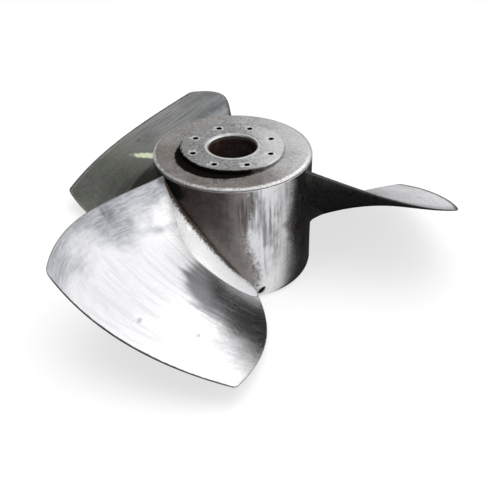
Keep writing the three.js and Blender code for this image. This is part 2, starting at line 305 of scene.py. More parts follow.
def rise(value, start, width):
    """Straight climb from nought at the start to one a width further on. A negative width turns it round."""
    return np.clip((value - start) / width, 0, 1)


def eased(share):
    """Smooth step: three times the square less twice the cube."""
    return share ** 2 * (3 - 2 * share)


def hump(value, middle, width):
    """Bell curve: e to the power of less the squared distance from the middle, counted in widths."""
    return np.exp(-((value - middle) / width) ** 2)


def oval(x, y, size, middle=(0.0, 0.0)):
    """Bell curve in two directions, with a width of its own in each."""
    return np.exp(-((x - middle[0]) / size[0]) ** 2 - ((y - middle[1]) / size[1]) ** 2)


def lobe(angles, degrees):
    """One towards an angle and nought on the far side: half of one plus the cosine."""
    return 0.5 + 0.5 * np.cos(angles - math.radians(degrees))


def wrapped(angles):
    """Angles brought within half a turn of nought."""
    return (angles + math.pi) % TURN - math.pi


def between(pair, share):
    return pair[0] + (pair[1] - pair[0]) * share


def grid_quads(rows, columns, close_rows, close_columns):
    """Quads of a grid of points numbered row by row. Closing joins the last row or column to the first."""
    i = np.arange(rows if close_rows else rows - 1)[:, None]
    j = np.arange(columns if close_columns else columns - 1)[None, :]
    next_i = (i + 1) % rows
    next_j = (j + 1) % columns
    corners = [i * columns + j, i * columns + next_j, next_i * columns + next_j, next_i * columns + j]
    return np.stack([np.broadcast_to(c, (i.size, j.size)) for c in corners], axis=-1).reshape(-1, 4)


class Shell:
    """Grids of points gathered into one mesh, with a value of each mark at every point."""

    def __init__(self, *marks):
        self.points = []
        self.faces = []
        self.marks = {name: [] for name in marks}
        self.count = 0

    def add(self, points, faces, **marks):
        flat = points.reshape(-1, 3)
        self.points.append(flat)
        self.faces.append(faces + self.count)
        for name, values in self.marks.items():
            values.append(np.broadcast_to(marks.get(name, 0.0), points.shape[:-1]).ravel())
        self.count += len(flat)

    def grid(self, points, close_rows=False, **marks):
        """Adds a grid of points, closed from its last column to its first one."""
        rows, columns = points.shape[:2]
        self.add(points, grid_quads(rows, columns, close_rows, True), **marks)

    def mesh(self, name):
        """Mesh of all the grids, with doubled points merged and every face pointing outwards."""
        mesh = bpy.data.meshes.new(name)
        points = np.concatenate(self.points)
        sizes = np.concatenate([np.full(len(faces), faces.shape[1]) for faces in self.faces])
        mesh.vertices.add(len(points))
        mesh.vertices.foreach_set("co", points.ravel())
        mesh.loops.add(int(sizes.sum()))
        mesh.polygons.add(len(sizes))
        mesh.polygons.foreach_set("loop_start", np.concatenate([[0], np.cumsum(sizes)[:-1]]))
        mesh.polygons.foreach_set("vertices", np.concatenate([faces.ravel() for faces in self.faces]))
        for mark_name, values in self.marks.items():
            layer = mesh.attributes.new(mark_name, "FLOAT", "POINT")
            layer.data.foreach_set("value", np.concatenate(values))
        mesh.update(calc_edges=True)
        shape = bmesh.new()
        shape.from_mesh(mesh)
        bmesh.ops.remove_doubles(shape, verts=shape.verts, dist=MERGE_DISTANCE)
        bmesh.ops.recalc_face_normals(shape, faces=shape.faces)
        shape.to_mesh(mesh)
        shape.free()
        mesh.set_sharp_from_angle(angle=SHARP_ANGLE)
        return mesh


def grid_shell(points, close_rows=True, **marks):
    """Shell of a single grid with its marks."""
    shell = Shell(*marks)
    shell.grid(points, close_rows, **marks)
    return shell


def turn_mesh(mesh, angle):
    """Turns a mesh about the axis."""
    points = np.empty(len(mesh.vertices) * 3)
    mesh.vertices.foreach_get("co", points)
    c, s = math.cos(angle), math.sin(angle)
    moved = points.reshape(-1, 3) @ np.array([[c, s, 0.0], [-s, c, 0.0], [0.0, 0.0, 1.0]])
    mesh.vertices.foreach_set("co", moved.ravel())
    mesh.update()


def add_piece(name, shell, material, slot, *nodes, turn=0.0):
    """Puts a finished piece into the scene. It rides with the runner and stands for the solid nodes named."""
    mesh = shell.mesh(name)
    turn_mesh(mesh, turn)
    mesh.materials.append(material)
    piece = bpy.data.objects.new(name, mesh)
    bpy.context.scene.collection.objects.link(piece)
    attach(piece, "root")
    if nodes:
        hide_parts(*nodes)


# Shader nodes

class Signal:
    """Output of a shader node. Arithmetic on a signal adds math nodes to its tree."""

    def __init__(self, socket):
        self.socket = socket
        self.tree = socket.id_data

    def math(self, operation, other):
        return signal(self.tree, "ShaderNodeMath", {0: self, 1: other}, operation=operation)

    def __add__(self, other):
        return self.math("ADD", other)

    def __sub__(self, other):
        return self.math("SUBTRACT", other)

    def __mul__(self, other):
        return self.math("MULTIPLY", other)

    def most(self, other):
        return self.math("MAXIMUM", other)

    def clamped(self):
        """Holds the last sum or product between nought and one."""
        self.socket.node.use_clamp = True
        return self

    def swing(self, amount=1.0):
        """Noise moved down to lie about nought, as a share of the amount."""
        return (self - 0.5) * amount

    def ramp(self, low, high, start=0.0, end=1.0):
        """Smooth step of the value between two limits."""
        inputs = {"Value": self, "From Min": low, "From Max": high, "To Min": start, "To Max": end}
        return signal(self.tree, "ShaderNodeMapRange", inputs, interpolation_type="SMOOTHSTEP")

    def vector(self, operation, other=(0.0, 0.0, 0.0), output=0):
        return signal(self.tree, "ShaderNodeVectorMath", {0: self, 1: other}, output, operation=operation)

    def dot(self, direction):
        return self.vector("DOT_PRODUCT", direction, "Value")


def feed(node, inputs):
    """Links signals to a node's inputs, and sets plain values on them."""
    for key, value in inputs.items():
        if isinstance(value, Signal):
            node.id_data.links.new(value.socket, node.inputs[key])
        else:
            node.inputs[key].default_value = value


def put(tree, kind, inputs, **settings):
    """Adds a node to a tree."""
    node = tree.nodes.new(kind)
    for name, value in settings.items():
        setattr(node, name, value)
    feed(node, inputs)
    return node


def signal(tree, kind, inputs, output=0, **settings):
    """Adds a node and gives one of its outputs."""
    return Signal(put(tree, kind, inputs, **settings).outputs[output])


def blend(factor, first, second, mode="MIX"):
    inputs = {0: factor, 6: first, 7: second}
    return signal(factor.tree, "ShaderNodeMix", inputs, 2, data_type="RGBA", blend_type=mode)


def cloud(vector, scale, detail, roughness, distortion=0.0):
    inputs = {"Vector": vector, "Scale": scale, "Detail": detail, "Roughness": roughness,
              "Distortion": distortion}
    return signal(vector.tree, "ShaderNodeTexNoise", inputs)


def drawn_cloud(vector, scales, detail, roughness, distortion=0.0):
    """Noise with a scale of its own in each direction."""
    spread = signal(vector.tree, "ShaderNodeMapping", {"Vector": vector, "Scale": scales})
    return cloud(spread, 1.0, detail, roughness, distortion)


def here(tree):
    return signal(tree, "ShaderNodeTexCoord", {}, "Object")


def height_of(place):
    return signal(place.tree, "ShaderNodeSeparateXYZ", {0: place}, 2)


def mark(tree, name):
    """Value kept at the points of the surface."""
    return signal(tree, "ShaderNodeAttribute", {}, "Fac", attribute_name=name, attribute_type="GEOMETRY")


def surface_way(tree, *names):
    """Vector of up to three marks that hold distances along the surface."""
    return signal(tree, "ShaderNodeCombineXYZ", {place: mark(tree, name) for place, name in enumerate(names)})


def use_group(name, fill, **inputs):
    """Puts in a shader node group and gives its outputs by name. The group is built on its first use: fill
    takes the group's own inputs and returns its outputs."""
    group = bpy.data.node_groups.get(name)
    if group is None:
        group = bpy.data.node_groups.new(name, "ShaderNodeTree")
        for title in inputs:
            kind = "NodeSocketVector" if title == "Vector" else "NodeSocketFloat"
            group.interface.new_socket(title, in_out="INPUT", socket_type=kind)
        source = group.nodes.new("NodeGroupInput")
        results = fill(*(Signal(source.outputs[title]) for title in inputs))
        for title in results:
            group.interface.new_socket(title, in_out="OUTPUT", socket_type="NodeSocketFloat")
        feed(group.nodes.new("NodeGroupOutput"), results)
    tree = next(iter(inputs.values())).tree
    node = put(tree, "ShaderNodeGroup", inputs, node_tree=group)
    return {socket.name: Signal(socket) for socket in node.outputs}


# Effects used by several materials

def hand_grinding(vector, patches):
    """Short strokes of a grinding disc. The surface is split into patches, and each patch has strokes in its
    own direction. The scratches are the finest of the strokes."""
    def fill(vector, patches):
        tree = vector.tree
        shaken = signal(tree, "ShaderNodeTexNoise", {"Vector": vector, "Scale": 14.0, "Detail": 2.0}, "Color")
        moved = vector.vector("ADD", shaken.vector("MULTIPLY", (0.05, 0.05, 0.05)))
        cells = signal(tree, "ShaderNodeTexVoronoi", {"Vector": moved, "Scale": patches, "Smoothness": 0.35},
                       "Color", feature="SMOOTH_F1")
        way = signal(tree, "ShaderNodeSeparateColor", {0: cells}) * 2.4
        swung = signal(tree, "ShaderNodeVectorRotate", {"Vector": vector, "Angle": way},
                       rotation_type="Z_AXIS")
        fine = drawn_cloud(swung, (420.0, 22.0, 22.0), 3.0, 0.6)
        broad = drawn_cloud(swung, (120.0, 9.0, 9.0), 4.0, 0.6)
        return {"Strokes": broad * 0.6 + fine * 0.4, "Scratches": fine}
    return use_group("Hand Grinding", fill, Vector=vector, Patches=patches)


def turning_marks(distance):
    """Fine even ridges left by a lathe tool, as noise along one distance."""
    def fill(distance):
        inputs = {"W": distance * 900.0, "Scale": 1.0, "Detail": 2.0, "Roughness": 0.6}
        return {"Ridges": signal(distance.tree, "ShaderNodeTexNoise", inputs, noise_dimensions="1D")}
    return use_group("Turning Marks", fill, Distance=distance)["Ridges"]


def mottling(vector):
    """Clouds of tone at four scales, sparse dark specks and sparse light flecks."""
    def fill(vector):
        return {
            "Large": cloud(vector, 5.0, 4.0, 0.6, 0.4),
            "Middle": cloud(vector, 26.0, 5.0, 0.65),
            "Spots": cloud(vector, 64.0, 3.0, 0.6, 0.3),
            "Small": cloud(vector, 150.0, 4.0, 0.7),
            "Specks": cloud(vector, 210.0, 2.0, 0.5).ramp(0.66, 0.74),
            "Flecks": cloud(vector, 88.0, 2.0, 0.5).ramp(0.58, 0.68),
        }
    return use_group("Mottling", fill, Vector=vector)


def dirt_runs(vector):
    """Vertical runs of dirt: noise drawn out along the height and broken by a coarser one."""
    def fill(vector):
        streaks = drawn_cloud(vector, (46.0, 46.0, 3.2), 5.0, 0.65)
        breaks = drawn_cloud(vector, (9.0, 9.0, 5.0), 3.0, 0.6)
        return {"Runs": (streaks * breaks).ramp(0.24, 0.40)}
    return use_group("Dirt Runs", fill, Vector=vector)["Runs"]


def edge_wear_and_painted_light(vector):
    """Worn edges, and bands of painted shade at the blades' edges: the mark that is high at edges, broken by
    noise.
    """
    def fill(vector, edge):
        return {"WearAndPaintedLight": (edge + cloud(vector, 70.0, 4.0, 0.7).swing()).ramp(0.45, 0.95)}
    return use_group("Edge Wear", fill, Vector=vector, Edge=mark(vector.tree, "edge"))["WearAndPaintedLight"]


def steel_material(name, dress, gloss=0.5, bump=0.5, depth=0.001):
    """Principled material, built once. The dress function gives its colour, roughness, metal and relief."""
    if name in bpy.data.materials:
        return bpy.data.materials[name]
    material = bpy.data.materials.new(name)
    material.use_nodes = True
    tree = material.node_tree
    tone, rough, metal, relief = dress(tree, bpy.context.scene.runner_finishes)
    normal = signal(tree, "ShaderNodeBump", {"Height": relief, "Strength": bump, "Distance": depth})
    feed(tree.nodes["Principled BSDF"], {"Base Color": tone, "Roughness": rough, "Metallic": metal,
                                         "Specular IOR Level": gloss, "Normal": normal})
    return material


# Materials

def blade_steel():
    """Hand-ground blade: patches of strokes in their own directions, a painted highlight patch by the root, a
    dulled band near the leading edge with strokes along the span, streaks along the chord in the dark stain,
    painted shade with an olive tint and a painted highlight streak on the blade behind the hub, and
    near-black painted shade under the blade and along its rim."""
    def dress(tree, finishes):
        across = surface_way(tree, "chord_way", "span_way", "face_side")
        grinding = hand_grinding(across, 6.0)
        clouds = mottling(across)
        along_chord = drawn_cloud(across, (3.5, 46.0, 5.0), 6.0, 0.62, 0.6)
        along_span = drawn_cloud(across, (95.0, 16.0, 5.0), 6.0, 0.70, 1.2)
        patch = clouds["Large"].ramp(0.46, 0.74) * grinding["Strokes"].ramp(0.40, 0.62)
        ragged = mark(tree, "dulled") + (clouds["Middle"].swing(0.7) + clouds["Large"].swing(1.3))
        worked = ragged.ramp(0.0, 1.0) * along_span.ramp(0.36, 0.62, 0.62, 1.0)
        streaks = along_chord.ramp(0.48, 0.62) * mark(tree, "streaked").ramp(0.0, 1.0, 0.20, 0.75)
        greyed = (patch * 0.38).most(worked).most(streaks)
        # Painted highlight: a lighter patch beside the root fillet.
        bright = blend(mark(tree, "fresh"), finishes.ground, finishes.dressed)
        tone = blend(greyed, bright, finishes.dull)
        burnt = (mark(tree, "stain") + along_chord.swing()).ramp(0.15, 0.80) * 0.85
        tone = blend(burnt, tone, finishes.burnt)
        smudge = (mark(tree, "smudge") + clouds["Middle"].swing()).ramp(0.45, 0.9)
        tone = blend(smudge * 0.7, tone, finishes.dull)
        # Painted highlight: a pale streak on the blade behind the hub.
        smear = (mark(tree, "smear") + clouds["Middle"].swing(0.3)).ramp(0.18, 0.80)
        tone = blend(smear, tone, finishes.smear)
        # Painted shade: an olive tint over the blade behind the hub.
        shade_filmed = mark(tree, "film") * clouds["Spots"].ramp(0.40, 0.58, 0.35, 1.0)
        tone = blend(shade_filmed, tone, finishes.olive, "MULTIPLY")
        mottled = blend(clouds["Large"].ramp(0.42, 0.62, 0.0, 0.11), finishes.scale, finishes.brown)
        mottled = blend(clouds["Spots"].ramp(0.45, 0.60, 0.0, 0.55), mottled, finishes.grime)
        # Painted shade: the underside and a band along the rim take the near-black scale colour.
        scale = mark(tree, "under").most(edge_wear_and_painted_light(across) * 0.92)
        scale = scale * clouds["Middle"].ramp(0.25, 0.6, 1.0, 0.985)
        tone = blend(scale, tone, mottled)
        rough = grinding["Strokes"].ramp(0.3, 0.7, 0.20, 0.32) + greyed * 0.12
        rough = (rough + scale * 0.22).clamped()
        metal = scale.most(smear).ramp(0.0, 1.0, 1.0, 0.03)
        relief = grinding["Scratches"] * burnt.ramp(0.0, 0.3, 1.0, 0.12) + clouds["Middle"] * 0.6
        return tone, rough, metal, relief
    return steel_material("Ground Blade Steel", dress, gloss=0.0, bump=0.2)


def fillet_steel():
    """Root fillets: weld metal ground bright by hand, with coarser marks than the blades, and smoother where
    they run flush into the blade."""
    def dress(tree, finishes):
        across = surface_way(tree, "chord_way", "span_way")
        grinding = hand_grinding(across, 22.0)
        clouds = mottling(across)
        flush = mark(tree, "flush")
        greyed = grinding["Strokes"].ramp(0.50, 0.72) * 0.3
        greyed = greyed.most(clouds["Small"].ramp(0.56, 0.66) * flush.ramp(0.0, 1.0, 0.55, 0.2))
        greyed = greyed.most((mark(tree, "dulled") + clouds["Middle"].swing(0.5)).clamped())
        tone = blend(greyed, finishes.dressed, finishes.dull)
        spotted = (mark(tree, "stain") + clouds["Small"].swing(1.4)).ramp(0.30, 0.80)
        tone = blend(spotted, tone, finishes.brown)
        # Painted shade under the lower fillets.
        scale = mark(tree, "under") * clouds["Middle"].ramp(0.25, 0.6, 1.0, 0.98)
        tone = blend(scale, tone, finishes.scale)
        rough = clouds["Middle"].ramp(0.3, 0.7, 0.34, 0.50) - flush * 0.14
        relief = (grinding["Strokes"] + clouds["Middle"]) * flush.ramp(0.0, 1.0, 1.0, 0.3)
        metal = flush.ramp(0.0, 1.0, 0.34, 1.0) * (scale * -0.95 + 1.0)
        return tone, rough, metal, relief
    return steel_material("Ground Fillet Steel", dress, gloss=0.09, bump=0.45, depth=0.0016)


def barrel_steel():
    """Turned barrel: brown oxide on one side of the lengthwise weld, cleaned metal on the other, dirt runs,
    dirt along the weld, painted shade along its right edge and painted shadows by the blades' roots."""
    seam = bpy.context.scene.runner_hub.seam_angle

    def dress(tree, finishes):
        place = here(tree)
        side = place.dot((-math.sin(seam), math.cos(seam), 0.0)) - mark(tree, "wander")
        clouds = mottling(place)
        ragged = side + clouds["Middle"].swing(0.10)
        cleaned = ragged.ramp(-0.022, 0.03) * ragged.ramp(0.205, 0.160)
        oxide = clouds["Large"].ramp(0.3, 0.7, 0.68, 0.98) + clouds["Small"].swing(0.5)
        oxide = oxide * ragged.ramp(-0.16, 0.0, 1.0, 0.24)
        oxide = (oxide * cleaned.ramp(0.0, 1.0, 1.0, 0.4)).clamped()
        tone = blend(cleaned, finishes.barrel, finishes.ground)
        tone = blend(oxide, tone, finishes.brown)
        # Painted shade: the barrel's right edge is turned near black with the scale colour.
        tone = blend(ragged.ramp(0.160, 0.205, 0.0, 0.85), tone, finishes.scale)
        shade = side.ramp(0.05, 0.15) * mark(tree, "low") * 0.6
        shade = shade.most(ragged.ramp(0.02, 0.16, 0.0, 0.25))
        tone = blend(shade, tone, finishes.barrel)
        seam_dirt = mark(tree, "seam") * clouds["Spots"].ramp(0.44, 0.66)
        seam_dirt = seam_dirt * clouds["Middle"].ramp(0.42, 0.56, 0.35, 0.9)
        # Painted shadows on the barrel beside the blades' roots.
        blots = (mark(tree, "blot") + clouds["Middle"].swing()).ramp(0.25, 0.75)
        dirt_and_shade = (dirt_runs(place) * 0.55).most(clouds["Specks"] * 0.5).most(seam_dirt).most(blots)
        tone = blend(dirt_and_shade, tone, finishes.grime)
        tone = blend(edge_wear_and_painted_light(place) * 0.5, tone, finishes.ground)
        rough = (clouds["Middle"].ramp(0.3, 0.7, 0.22, 0.36) + dirt_and_shade * 0.25).clamped()
        relief = turning_marks(height_of(place)) * 0.5 + clouds["Small"]
        return tone, rough, dirt_and_shade.ramp(0.0, 1.0, 1.0, 0.35), relief
    return steel_material("Oxidised Barrel Steel", dress, gloss=0.12, bump=0.35, depth=0.0012)


def flange_steel(name, base, stained, speckled, painted_light_side, painted_light_start, painted_light_full):
    """Machined flange face: rings from the lathe, oxide clouds that are denser on one side, specks, and
    painted shadow where the mark says so. The face is lighter towards one side as painted light."""
    def dress(tree, finishes):
        place = here(tree)
        radius = place.vector("MULTIPLY", (1.0, 1.0, 0.0)).vector("LENGTH", output="Value")
        clouds = mottling(place)
        # Painted light: the face is lighter towards one side, as if lit from there.
        worked = (place.dot(painted_light_side) + clouds["Middle"] * 0.25).ramp(painted_light_start, painted_light_full)
        tone = blend(worked, getattr(finishes, base), finishes.ground)
        grain = clouds["Small"].ramp(0.54, 0.62).most(clouds["Spots"].ramp(0.49, 0.57))
        grain = grain * clouds["Middle"].ramp(0.38, 0.62, 0.45, 1.0)
        grain = grain * worked.ramp(0.2, 1.0, speckled, speckled * 0.35)
        tone = blend(grain, tone, finishes.tarnish)
        tone = blend(clouds["Flecks"] * 0.5, tone, finishes.ground)
        oxide = (clouds["Large"] + place.dot((-0.35, -0.45, 0.0))).ramp(0.34, 0.70) * stained
        # The boss's painted shadow, from the mark, first turns the face towards oxide.
        oxide = oxide.most(mark(tree, "grime").ramp(0.05, 0.45, 0.0, 0.62))
        tone = blend(oxide, tone, finishes.brown)
        tone = blend(clouds["Specks"] * 0.8, tone, finishes.grime)
        # Painted shadow from the mark, taking the grime colour.
        dirt_and_shade = (mark(tree, "grime") + clouds["Middle"].swing(0.8)).ramp(0.30, 0.72)
        tone = blend(dirt_and_shade, tone, finishes.grime)
        tone = blend(edge_wear_and_painted_light(place) * 0.85, tone, finishes.ground)
        rough = (clouds["Small"].ramp(0.3, 0.7, 0.24, 0.42) + dirt_and_shade * 0.3).clamped()
        metal = oxide.ramp(0.0, 1.0, 1.0, 0.4) * dirt_and_shade.ramp(0.0, 1.0, 1.0, 0.05)
        return tone, rough, metal, turning_marks(radius) * 0.6 + clouds["Small"]
    return steel_material(name, dress, gloss=0.0, bump=0.4)


def plate_steel():
    return flange_steel("Machined Plate Steel", "turned", stained=0.72, speckled=0.42,
                        painted_light_side=(1.0, 0.4, 0.0), painted_light_start=0.04, painted_light_full=0.56)


def boss_steel():
    return flange_steel("Machined Boss Steel", "faced", stained=0.22, speckled=0.62,
                        painted_light_side=(1.0, 0.0, 0.0), painted_light_start=0.12, painted_light_full=0.30)


def bore_steel():
    """Bored sleeve: bright at its lip, brown and oily down the bore."""
    def dress(tree, finishes):
        place = here(tree)
        clouds = mottling(place)
        height = height_of(place)
        deep = height.ramp(BOSS_TOP - 0.004, BOSS_TOP - 0.022) * clouds["Middle"].ramp(0.3, 0.6, 0.85, 1.0)
        tone = blend(clouds["Middle"].ramp(0.35, 0.75, 0.15, 0.65), finishes.ground, finishes.turned)
        # Rust on the left of the bore, which also lightens that wall as a painted highlight.
        rusty = (place.dot((-1.0, 0.1, 0.0)) + clouds["Middle"] * 0.08).ramp(0.03, 0.13) * 0.5
        tone = blend(deep, tone, blend(rusty, finishes.brown, finishes.rust))
        tone = blend(clouds["Specks"] * 0.6, tone, finishes.grime)
        rough = clouds["Small"].ramp(0.3, 0.7, 0.34, 0.44)
        return tone, rough, deep.ramp(0.0, 1.0, 1.0, 0.8), turning_marks(height) + clouds["Small"]
    return steel_material("Bored Sleeve Steel", dress, bump=0.12, depth=0.0008)


def inner_steel():
    """Plate inside the hub: mill scale with a film of rust and oily patches."""
    def dress(tree, finishes):
        place = here(tree)
        clouds = mottling(place)
        rusty = clouds["Middle"].ramp(0.38, 0.62) * 0.75
        tone = blend(rusty, finishes.dull, finishes.rust)
        tone = blend(dirt_runs(place) * 0.7, tone, finishes.grime)
        rough = clouds["Small"].ramp(0.25, 0.75, 0.5, 0.8)
        return tone, rough, rusty.ramp(0.0, 0.75, 0.9, 0.25), clouds["Small"] + clouds["Middle"]
    return steel_material("Inner Plate Steel", dress, bump=0.6, depth=0.0012)


def weld_steel():
    """Weld beads: brushed metal with brown heat tint and soot."""
    def dress(tree, finishes):
        clouds = mottling(here(tree))
        tone = blend(clouds["Middle"].ramp(0.4, 0.65), finishes.bead, finishes.brown)
        tone = blend(clouds["Specks"] * 0.8, tone, finishes.grime)
        return tone, clouds["Small"].ramp(0.3, 0.7, 0.35, 0.6), 0.9, clouds["Small"]
    return steel_material("Weld Bead Steel", dress, bump=0.5, depth=0.0008)


# Barrel

def corner_blots(angles, height):
    """Painted shadow by the blades' roots: a leaning oval beside each trailing root corner, a broader patch
    along the foot near it, and a wide patch beside each leading root corner."""
    blades = bpy.context.scene.runner_blade
    total = 0.0
    for turn in circle_angles(BLADES):
        right = wrapped(angles - blades.trailing_sweep[0] + turn) * BARREL_RADIUS - 0.020
        up = height - PLATE_TOP - blades.trailing_heights[0] - 0.003
        along = 0.77 * right + 0.64 * up
        across = 0.77 * up - 0.64 * right
        total = total + 1.6 * oval(along, across, (0.013, 0.006)) + 0.42 * oval(right, up, (0.045, 0.04))
        right = wrapped(angles - blades.leading_sweep[0] + turn) * BARREL_RADIUS - 0.06
        total = total + 0.9 * oval(right, height - PLATE_TOP + 0.05, (0.09, 0.05))
    return np.clip(total, 0, 1)


def barrel_profile(hub):
    """Barrel's closed section as radius and height: the rounded foot, the outer wall, the lip and the inside.
    Also gives the number of its points on the foot and the outer wall."""
    inner = BARREL_RADIUS - hub.wall
    cut = hub.break_edge
    centre = (BARREL_RADIUS - hub.foot_round, BARREL_FOOT + hub.foot_round)
    foot = ellipse_arc(centre, hub.foot_round, hub.foot_round, np.linspace(-math.pi / 2, 0, FOOT_STEPS))
    heights = np.linspace(centre[1], BARREL_TOP - hub.groove - 0.002, WALL_STEPS)[1:]
    wall = np.stack([np.full(len(heights), BARREL_RADIUS), heights], axis=1)
    rest = [(BARREL_RADIUS, BARREL_TOP - hub.groove), (BARREL_RADIUS - hub.groove, BARREL_TOP),
            (inner + cut, BARREL_TOP), (inner, BARREL_TOP - cut), (inner, 0.0),
            (inner, BARREL_FOOT + cut), (inner + cut, BARREL_FOOT)]
    return np.concatenate([foot, wall, rest]), len(foot) + len(wall)


def barrel_angles(hub):
    """Steps round the barrel, closer together at the lengthwise weld and beside the blades' roots."""
    near_seam = hub.seam_angle + np.linspace(-0.045, 0.045, 25)
    near_root = bpy.context.scene.runner_blade.trailing_sweep[0] + np.linspace(0, 0.13, 26)
    near_roots = (near_root[:, None] + circle_angles(BLADES)).ravel()
    return np.unique(np.round(np.concatenate([circle_angles(BARREL_STEPS), near_seam, near_roots]) % TURN, 6))


def barrel_relief(angles, height, across):
    """Relief of the outer wall: sunk by shallow waves, a sum of sines of angle and height, and raised along
    the lengthwise weld in a low ridge that wanders and ripples."""
    wave_depth, highest_waves = 0.00022, 2.6
    ridge_height, ridge_width, ripple_length = 0.0009, 0.0065, 0.011
    waves = np.sin(3 * angles + 11 * height) + np.sin(7 * angles - 23 * height + 1.3)
    waves = waves + 0.6 * np.sin(15 * angles + 41 * height + 0.4)
    across = across + 0.004 * np.sin(31 * height) + 0.002 * np.sin(83 * height + 1)
    ripple = 0.75 + 0.25 * np.sin(TURN * height / ripple_length + 40 * np.abs(across) / 0.01)
    return wave_depth * (waves - highest_waves) + ridge_height * hump(across, 0, ridge_width) * ripple


def build_barrel(hub):
    """Barrel: its closed section turned round the axis, with relief on its outer wall. The border of the
    cleaned metal wanders about the lengthwise weld as a cosine of the depth below the top plate."""
    profile, outer_count = barrel_profile(hub)
    angles = barrel_angles(hub)
    height = profile[:, 1:]
    outer = (np.arange(len(profile)) < outer_count)[:, None] * rise(height, BARREL_FOOT, 0.03)
    across = wrapped(angles - hub.seam_angle) * BARREL_RADIUS
    points = polar(profile[:, :1] + barrel_relief(angles, height, across) * outer, angles, height)
    depth = PLATE_TOP - height
    wander = 0.010 + 0.05 * (depth - 0.25) + 0.02 * np.cos(TURN * (depth - 0.04) / 0.36)
    edge = np.zeros((len(profile), 1))
    edge[outer_count:outer_count + 2] = 1
    shell = grid_shell(points, edge=edge, seam=hump(across, wander, 0.022) * outer, wander=wander,
                       low=rise(depth, 0.08, 0.35) ** 1.2, blot=corner_blots(angles, height))
    add_piece("barrel_shell", shell, barrel_steel(), "hub_steel", "hub_barrel")


# Top plate and weld beads

def foot_grime(angles, radius, height):
    """Painted shadow of the boss on its own wall and on the plate: full at the corner and fading away from
    it, wide and black at the front left and thin elsewhere. A fainter band of painted shadow lies on the
    plate in front."""
    # Painted shadow, widest at the front left where the boss's shadow falls.
    front_left, front = 232, 262
    distance = np.hypot(radius - BOSS_RADIUS, height - PLATE_TOP)
    lean = lobe(angles, front_left) ** 3.5
    film = 0.40 * lobe(angles, front) ** 6 * rise(radius, PLATE_RADIUS - 0.012, -0.02) * (height <= PLATE_TOP)
    return np.maximum(np.clip(1.8 - distance / (0.005 + 0.026 * lean), 0, 1) * (0.25 + 1.15 * lean), film)


def build_top_plate(hub):
    """Top plate: a rim with an elliptical edge over a thicker middle let into the barrel."""
    edge_centre = (PLATE_RADIUS - hub.edge_width, PLATE_TOP - hub.edge_drop)
    edge = ellipse_arc(edge_centre, hub.edge_width, hub.edge_drop, quarter(PLATE_EDGE_STEPS))
    rim_foot = PLATE_TOP - hub.rim_height
    inner = BOSS_RADIUS + FIT_GAP
    cut = hub.break_edge
    radii = np.linspace(edge[-1, 0], inner + cut, PLATE_FACE_STEPS + 1)[1:]
    face = np.stack([radii, np.full(PLATE_FACE_STEPS, PLATE_TOP)], axis=1)
    below = [(inner, PLATE_TOP - cut), (inner, PLATE_FOOT), (RING_RADIUS - cut, PLATE_FOOT),
             (RING_RADIUS, PLATE_FOOT + cut), (RING_RADIUS, rim_foot), (PLATE_RADIUS - hub.groove, rim_foot)]
    profile = np.concatenate([edge, face, below])
    angles = circle_angles(PLATE_STEPS)
    # Wear along the rounded edge of the rim, which also lightens it as a painted highlight.
    worn_steps = 12
    worn = np.zeros((len(profile), 1))
    worn[:worn_steps, 0] = np.linspace(1, 0.6, worn_steps)
    # Painted shadow of the boss on the plate's face.
    grime = foot_grime(angles, profile[:, :1], profile[:, 1:])
    shell = grid_shell(turned(profile, angles), edge=worn, grime=grime)
    add_piece("top_plate", shell, plate_steel(), "machined_steel", "hub_top_plate")


def build_bead(name, node, radius, height, size, ripples):
    """Weld bead round the axis: an oval section whose size swells and sinks with every ripple."""
    steps_a_ripple, section_steps = 4, 10
    angles = circle_angles(ripples * steps_a_ripple)
    around = circle_angles(section_steps)[:, None]
    swell = size * (1 + 0.16 * np.sin(ripples * angles) + 0.05 * np.sin(7 * angles))
    lean = 0.25 * size * np.sin(ripples * angles + 2 * around)
    out = radius + swell * np.cos(around) + lean * 0.3
    shell = grid_shell(polar(out, angles, height + swell * np.sin(around) + lean))
    add_piece(name, shell, weld_steel(), "weld_steel", node)


def build_plate_bead(hub):
    height = (BARREL_TOP + PLATE_TOP - hub.rim_height) / 2
    build_bead("plate_bead", "top_plate_weld", BARREL_RADIUS - hub.groove, height, size=0.0016, ripples=210)


def build_ring_bead():
    radius = RING_RADIUS - 0.0006
    build_bead("ring_bead", "bottom_ring_weld", radius, RING_FOOT + 0.0002, size=0.0058, ripples=190)


# Shaft boss

def hole_border(hub):
    """Border of one hole's share of the boss face, as radius and angle from the hole's own line: out along
    the outer circle, in along a side, back along the inner circle and out again."""
    half = TURN / hub.holes / 2
    inner = SLEEVE_RADIUS + FIT_GAP + hub.break_edge
    outer = BOSS_RADIUS - hub.boss_chamfer
    turn = np.linspace(-half, half, SIDE_STEPS + 1)[:-1]
    radial = np.linspace(0, 1, RADIAL_STEPS + 1)[:-1]
    radius = np.concatenate([np.full(SIDE_STEPS, outer), outer + (inner - outer) * radial,
                             np.full(SIDE_STEPS, inner), inner + (outer - inner) * radial])
    angle = np.concatenate([turn, np.full(RADIAL_STEPS, half), -turn, np.full(RADIAL_STEPS, -half)])
    return radius, angle


def hole_share(hub):
    """One hole's share of the boss face: the angles round the hole, and a grid of radius and angle from the
    hole's own line that runs from the rim of the hole to the share's border."""
    radius, angle = hole_border(hub)
    around = np.unwrap(np.arctan2(radius * np.sin(angle), radius * np.cos(angle) - hub.hole_circle))
    mouth = hub.hole_radius + hub.hole_mouth
    rim_x = hub.hole_circle + mouth * np.cos(around)
    rim_y = mouth * np.sin(around)
    out = (np.linspace(0, 1, 9) ** 1.4)[:, None]
    radii = between((np.hypot(rim_x, rim_y), radius), out)
    return around, radii, between((np.arctan2(rim_y, rim_x), angle), out)


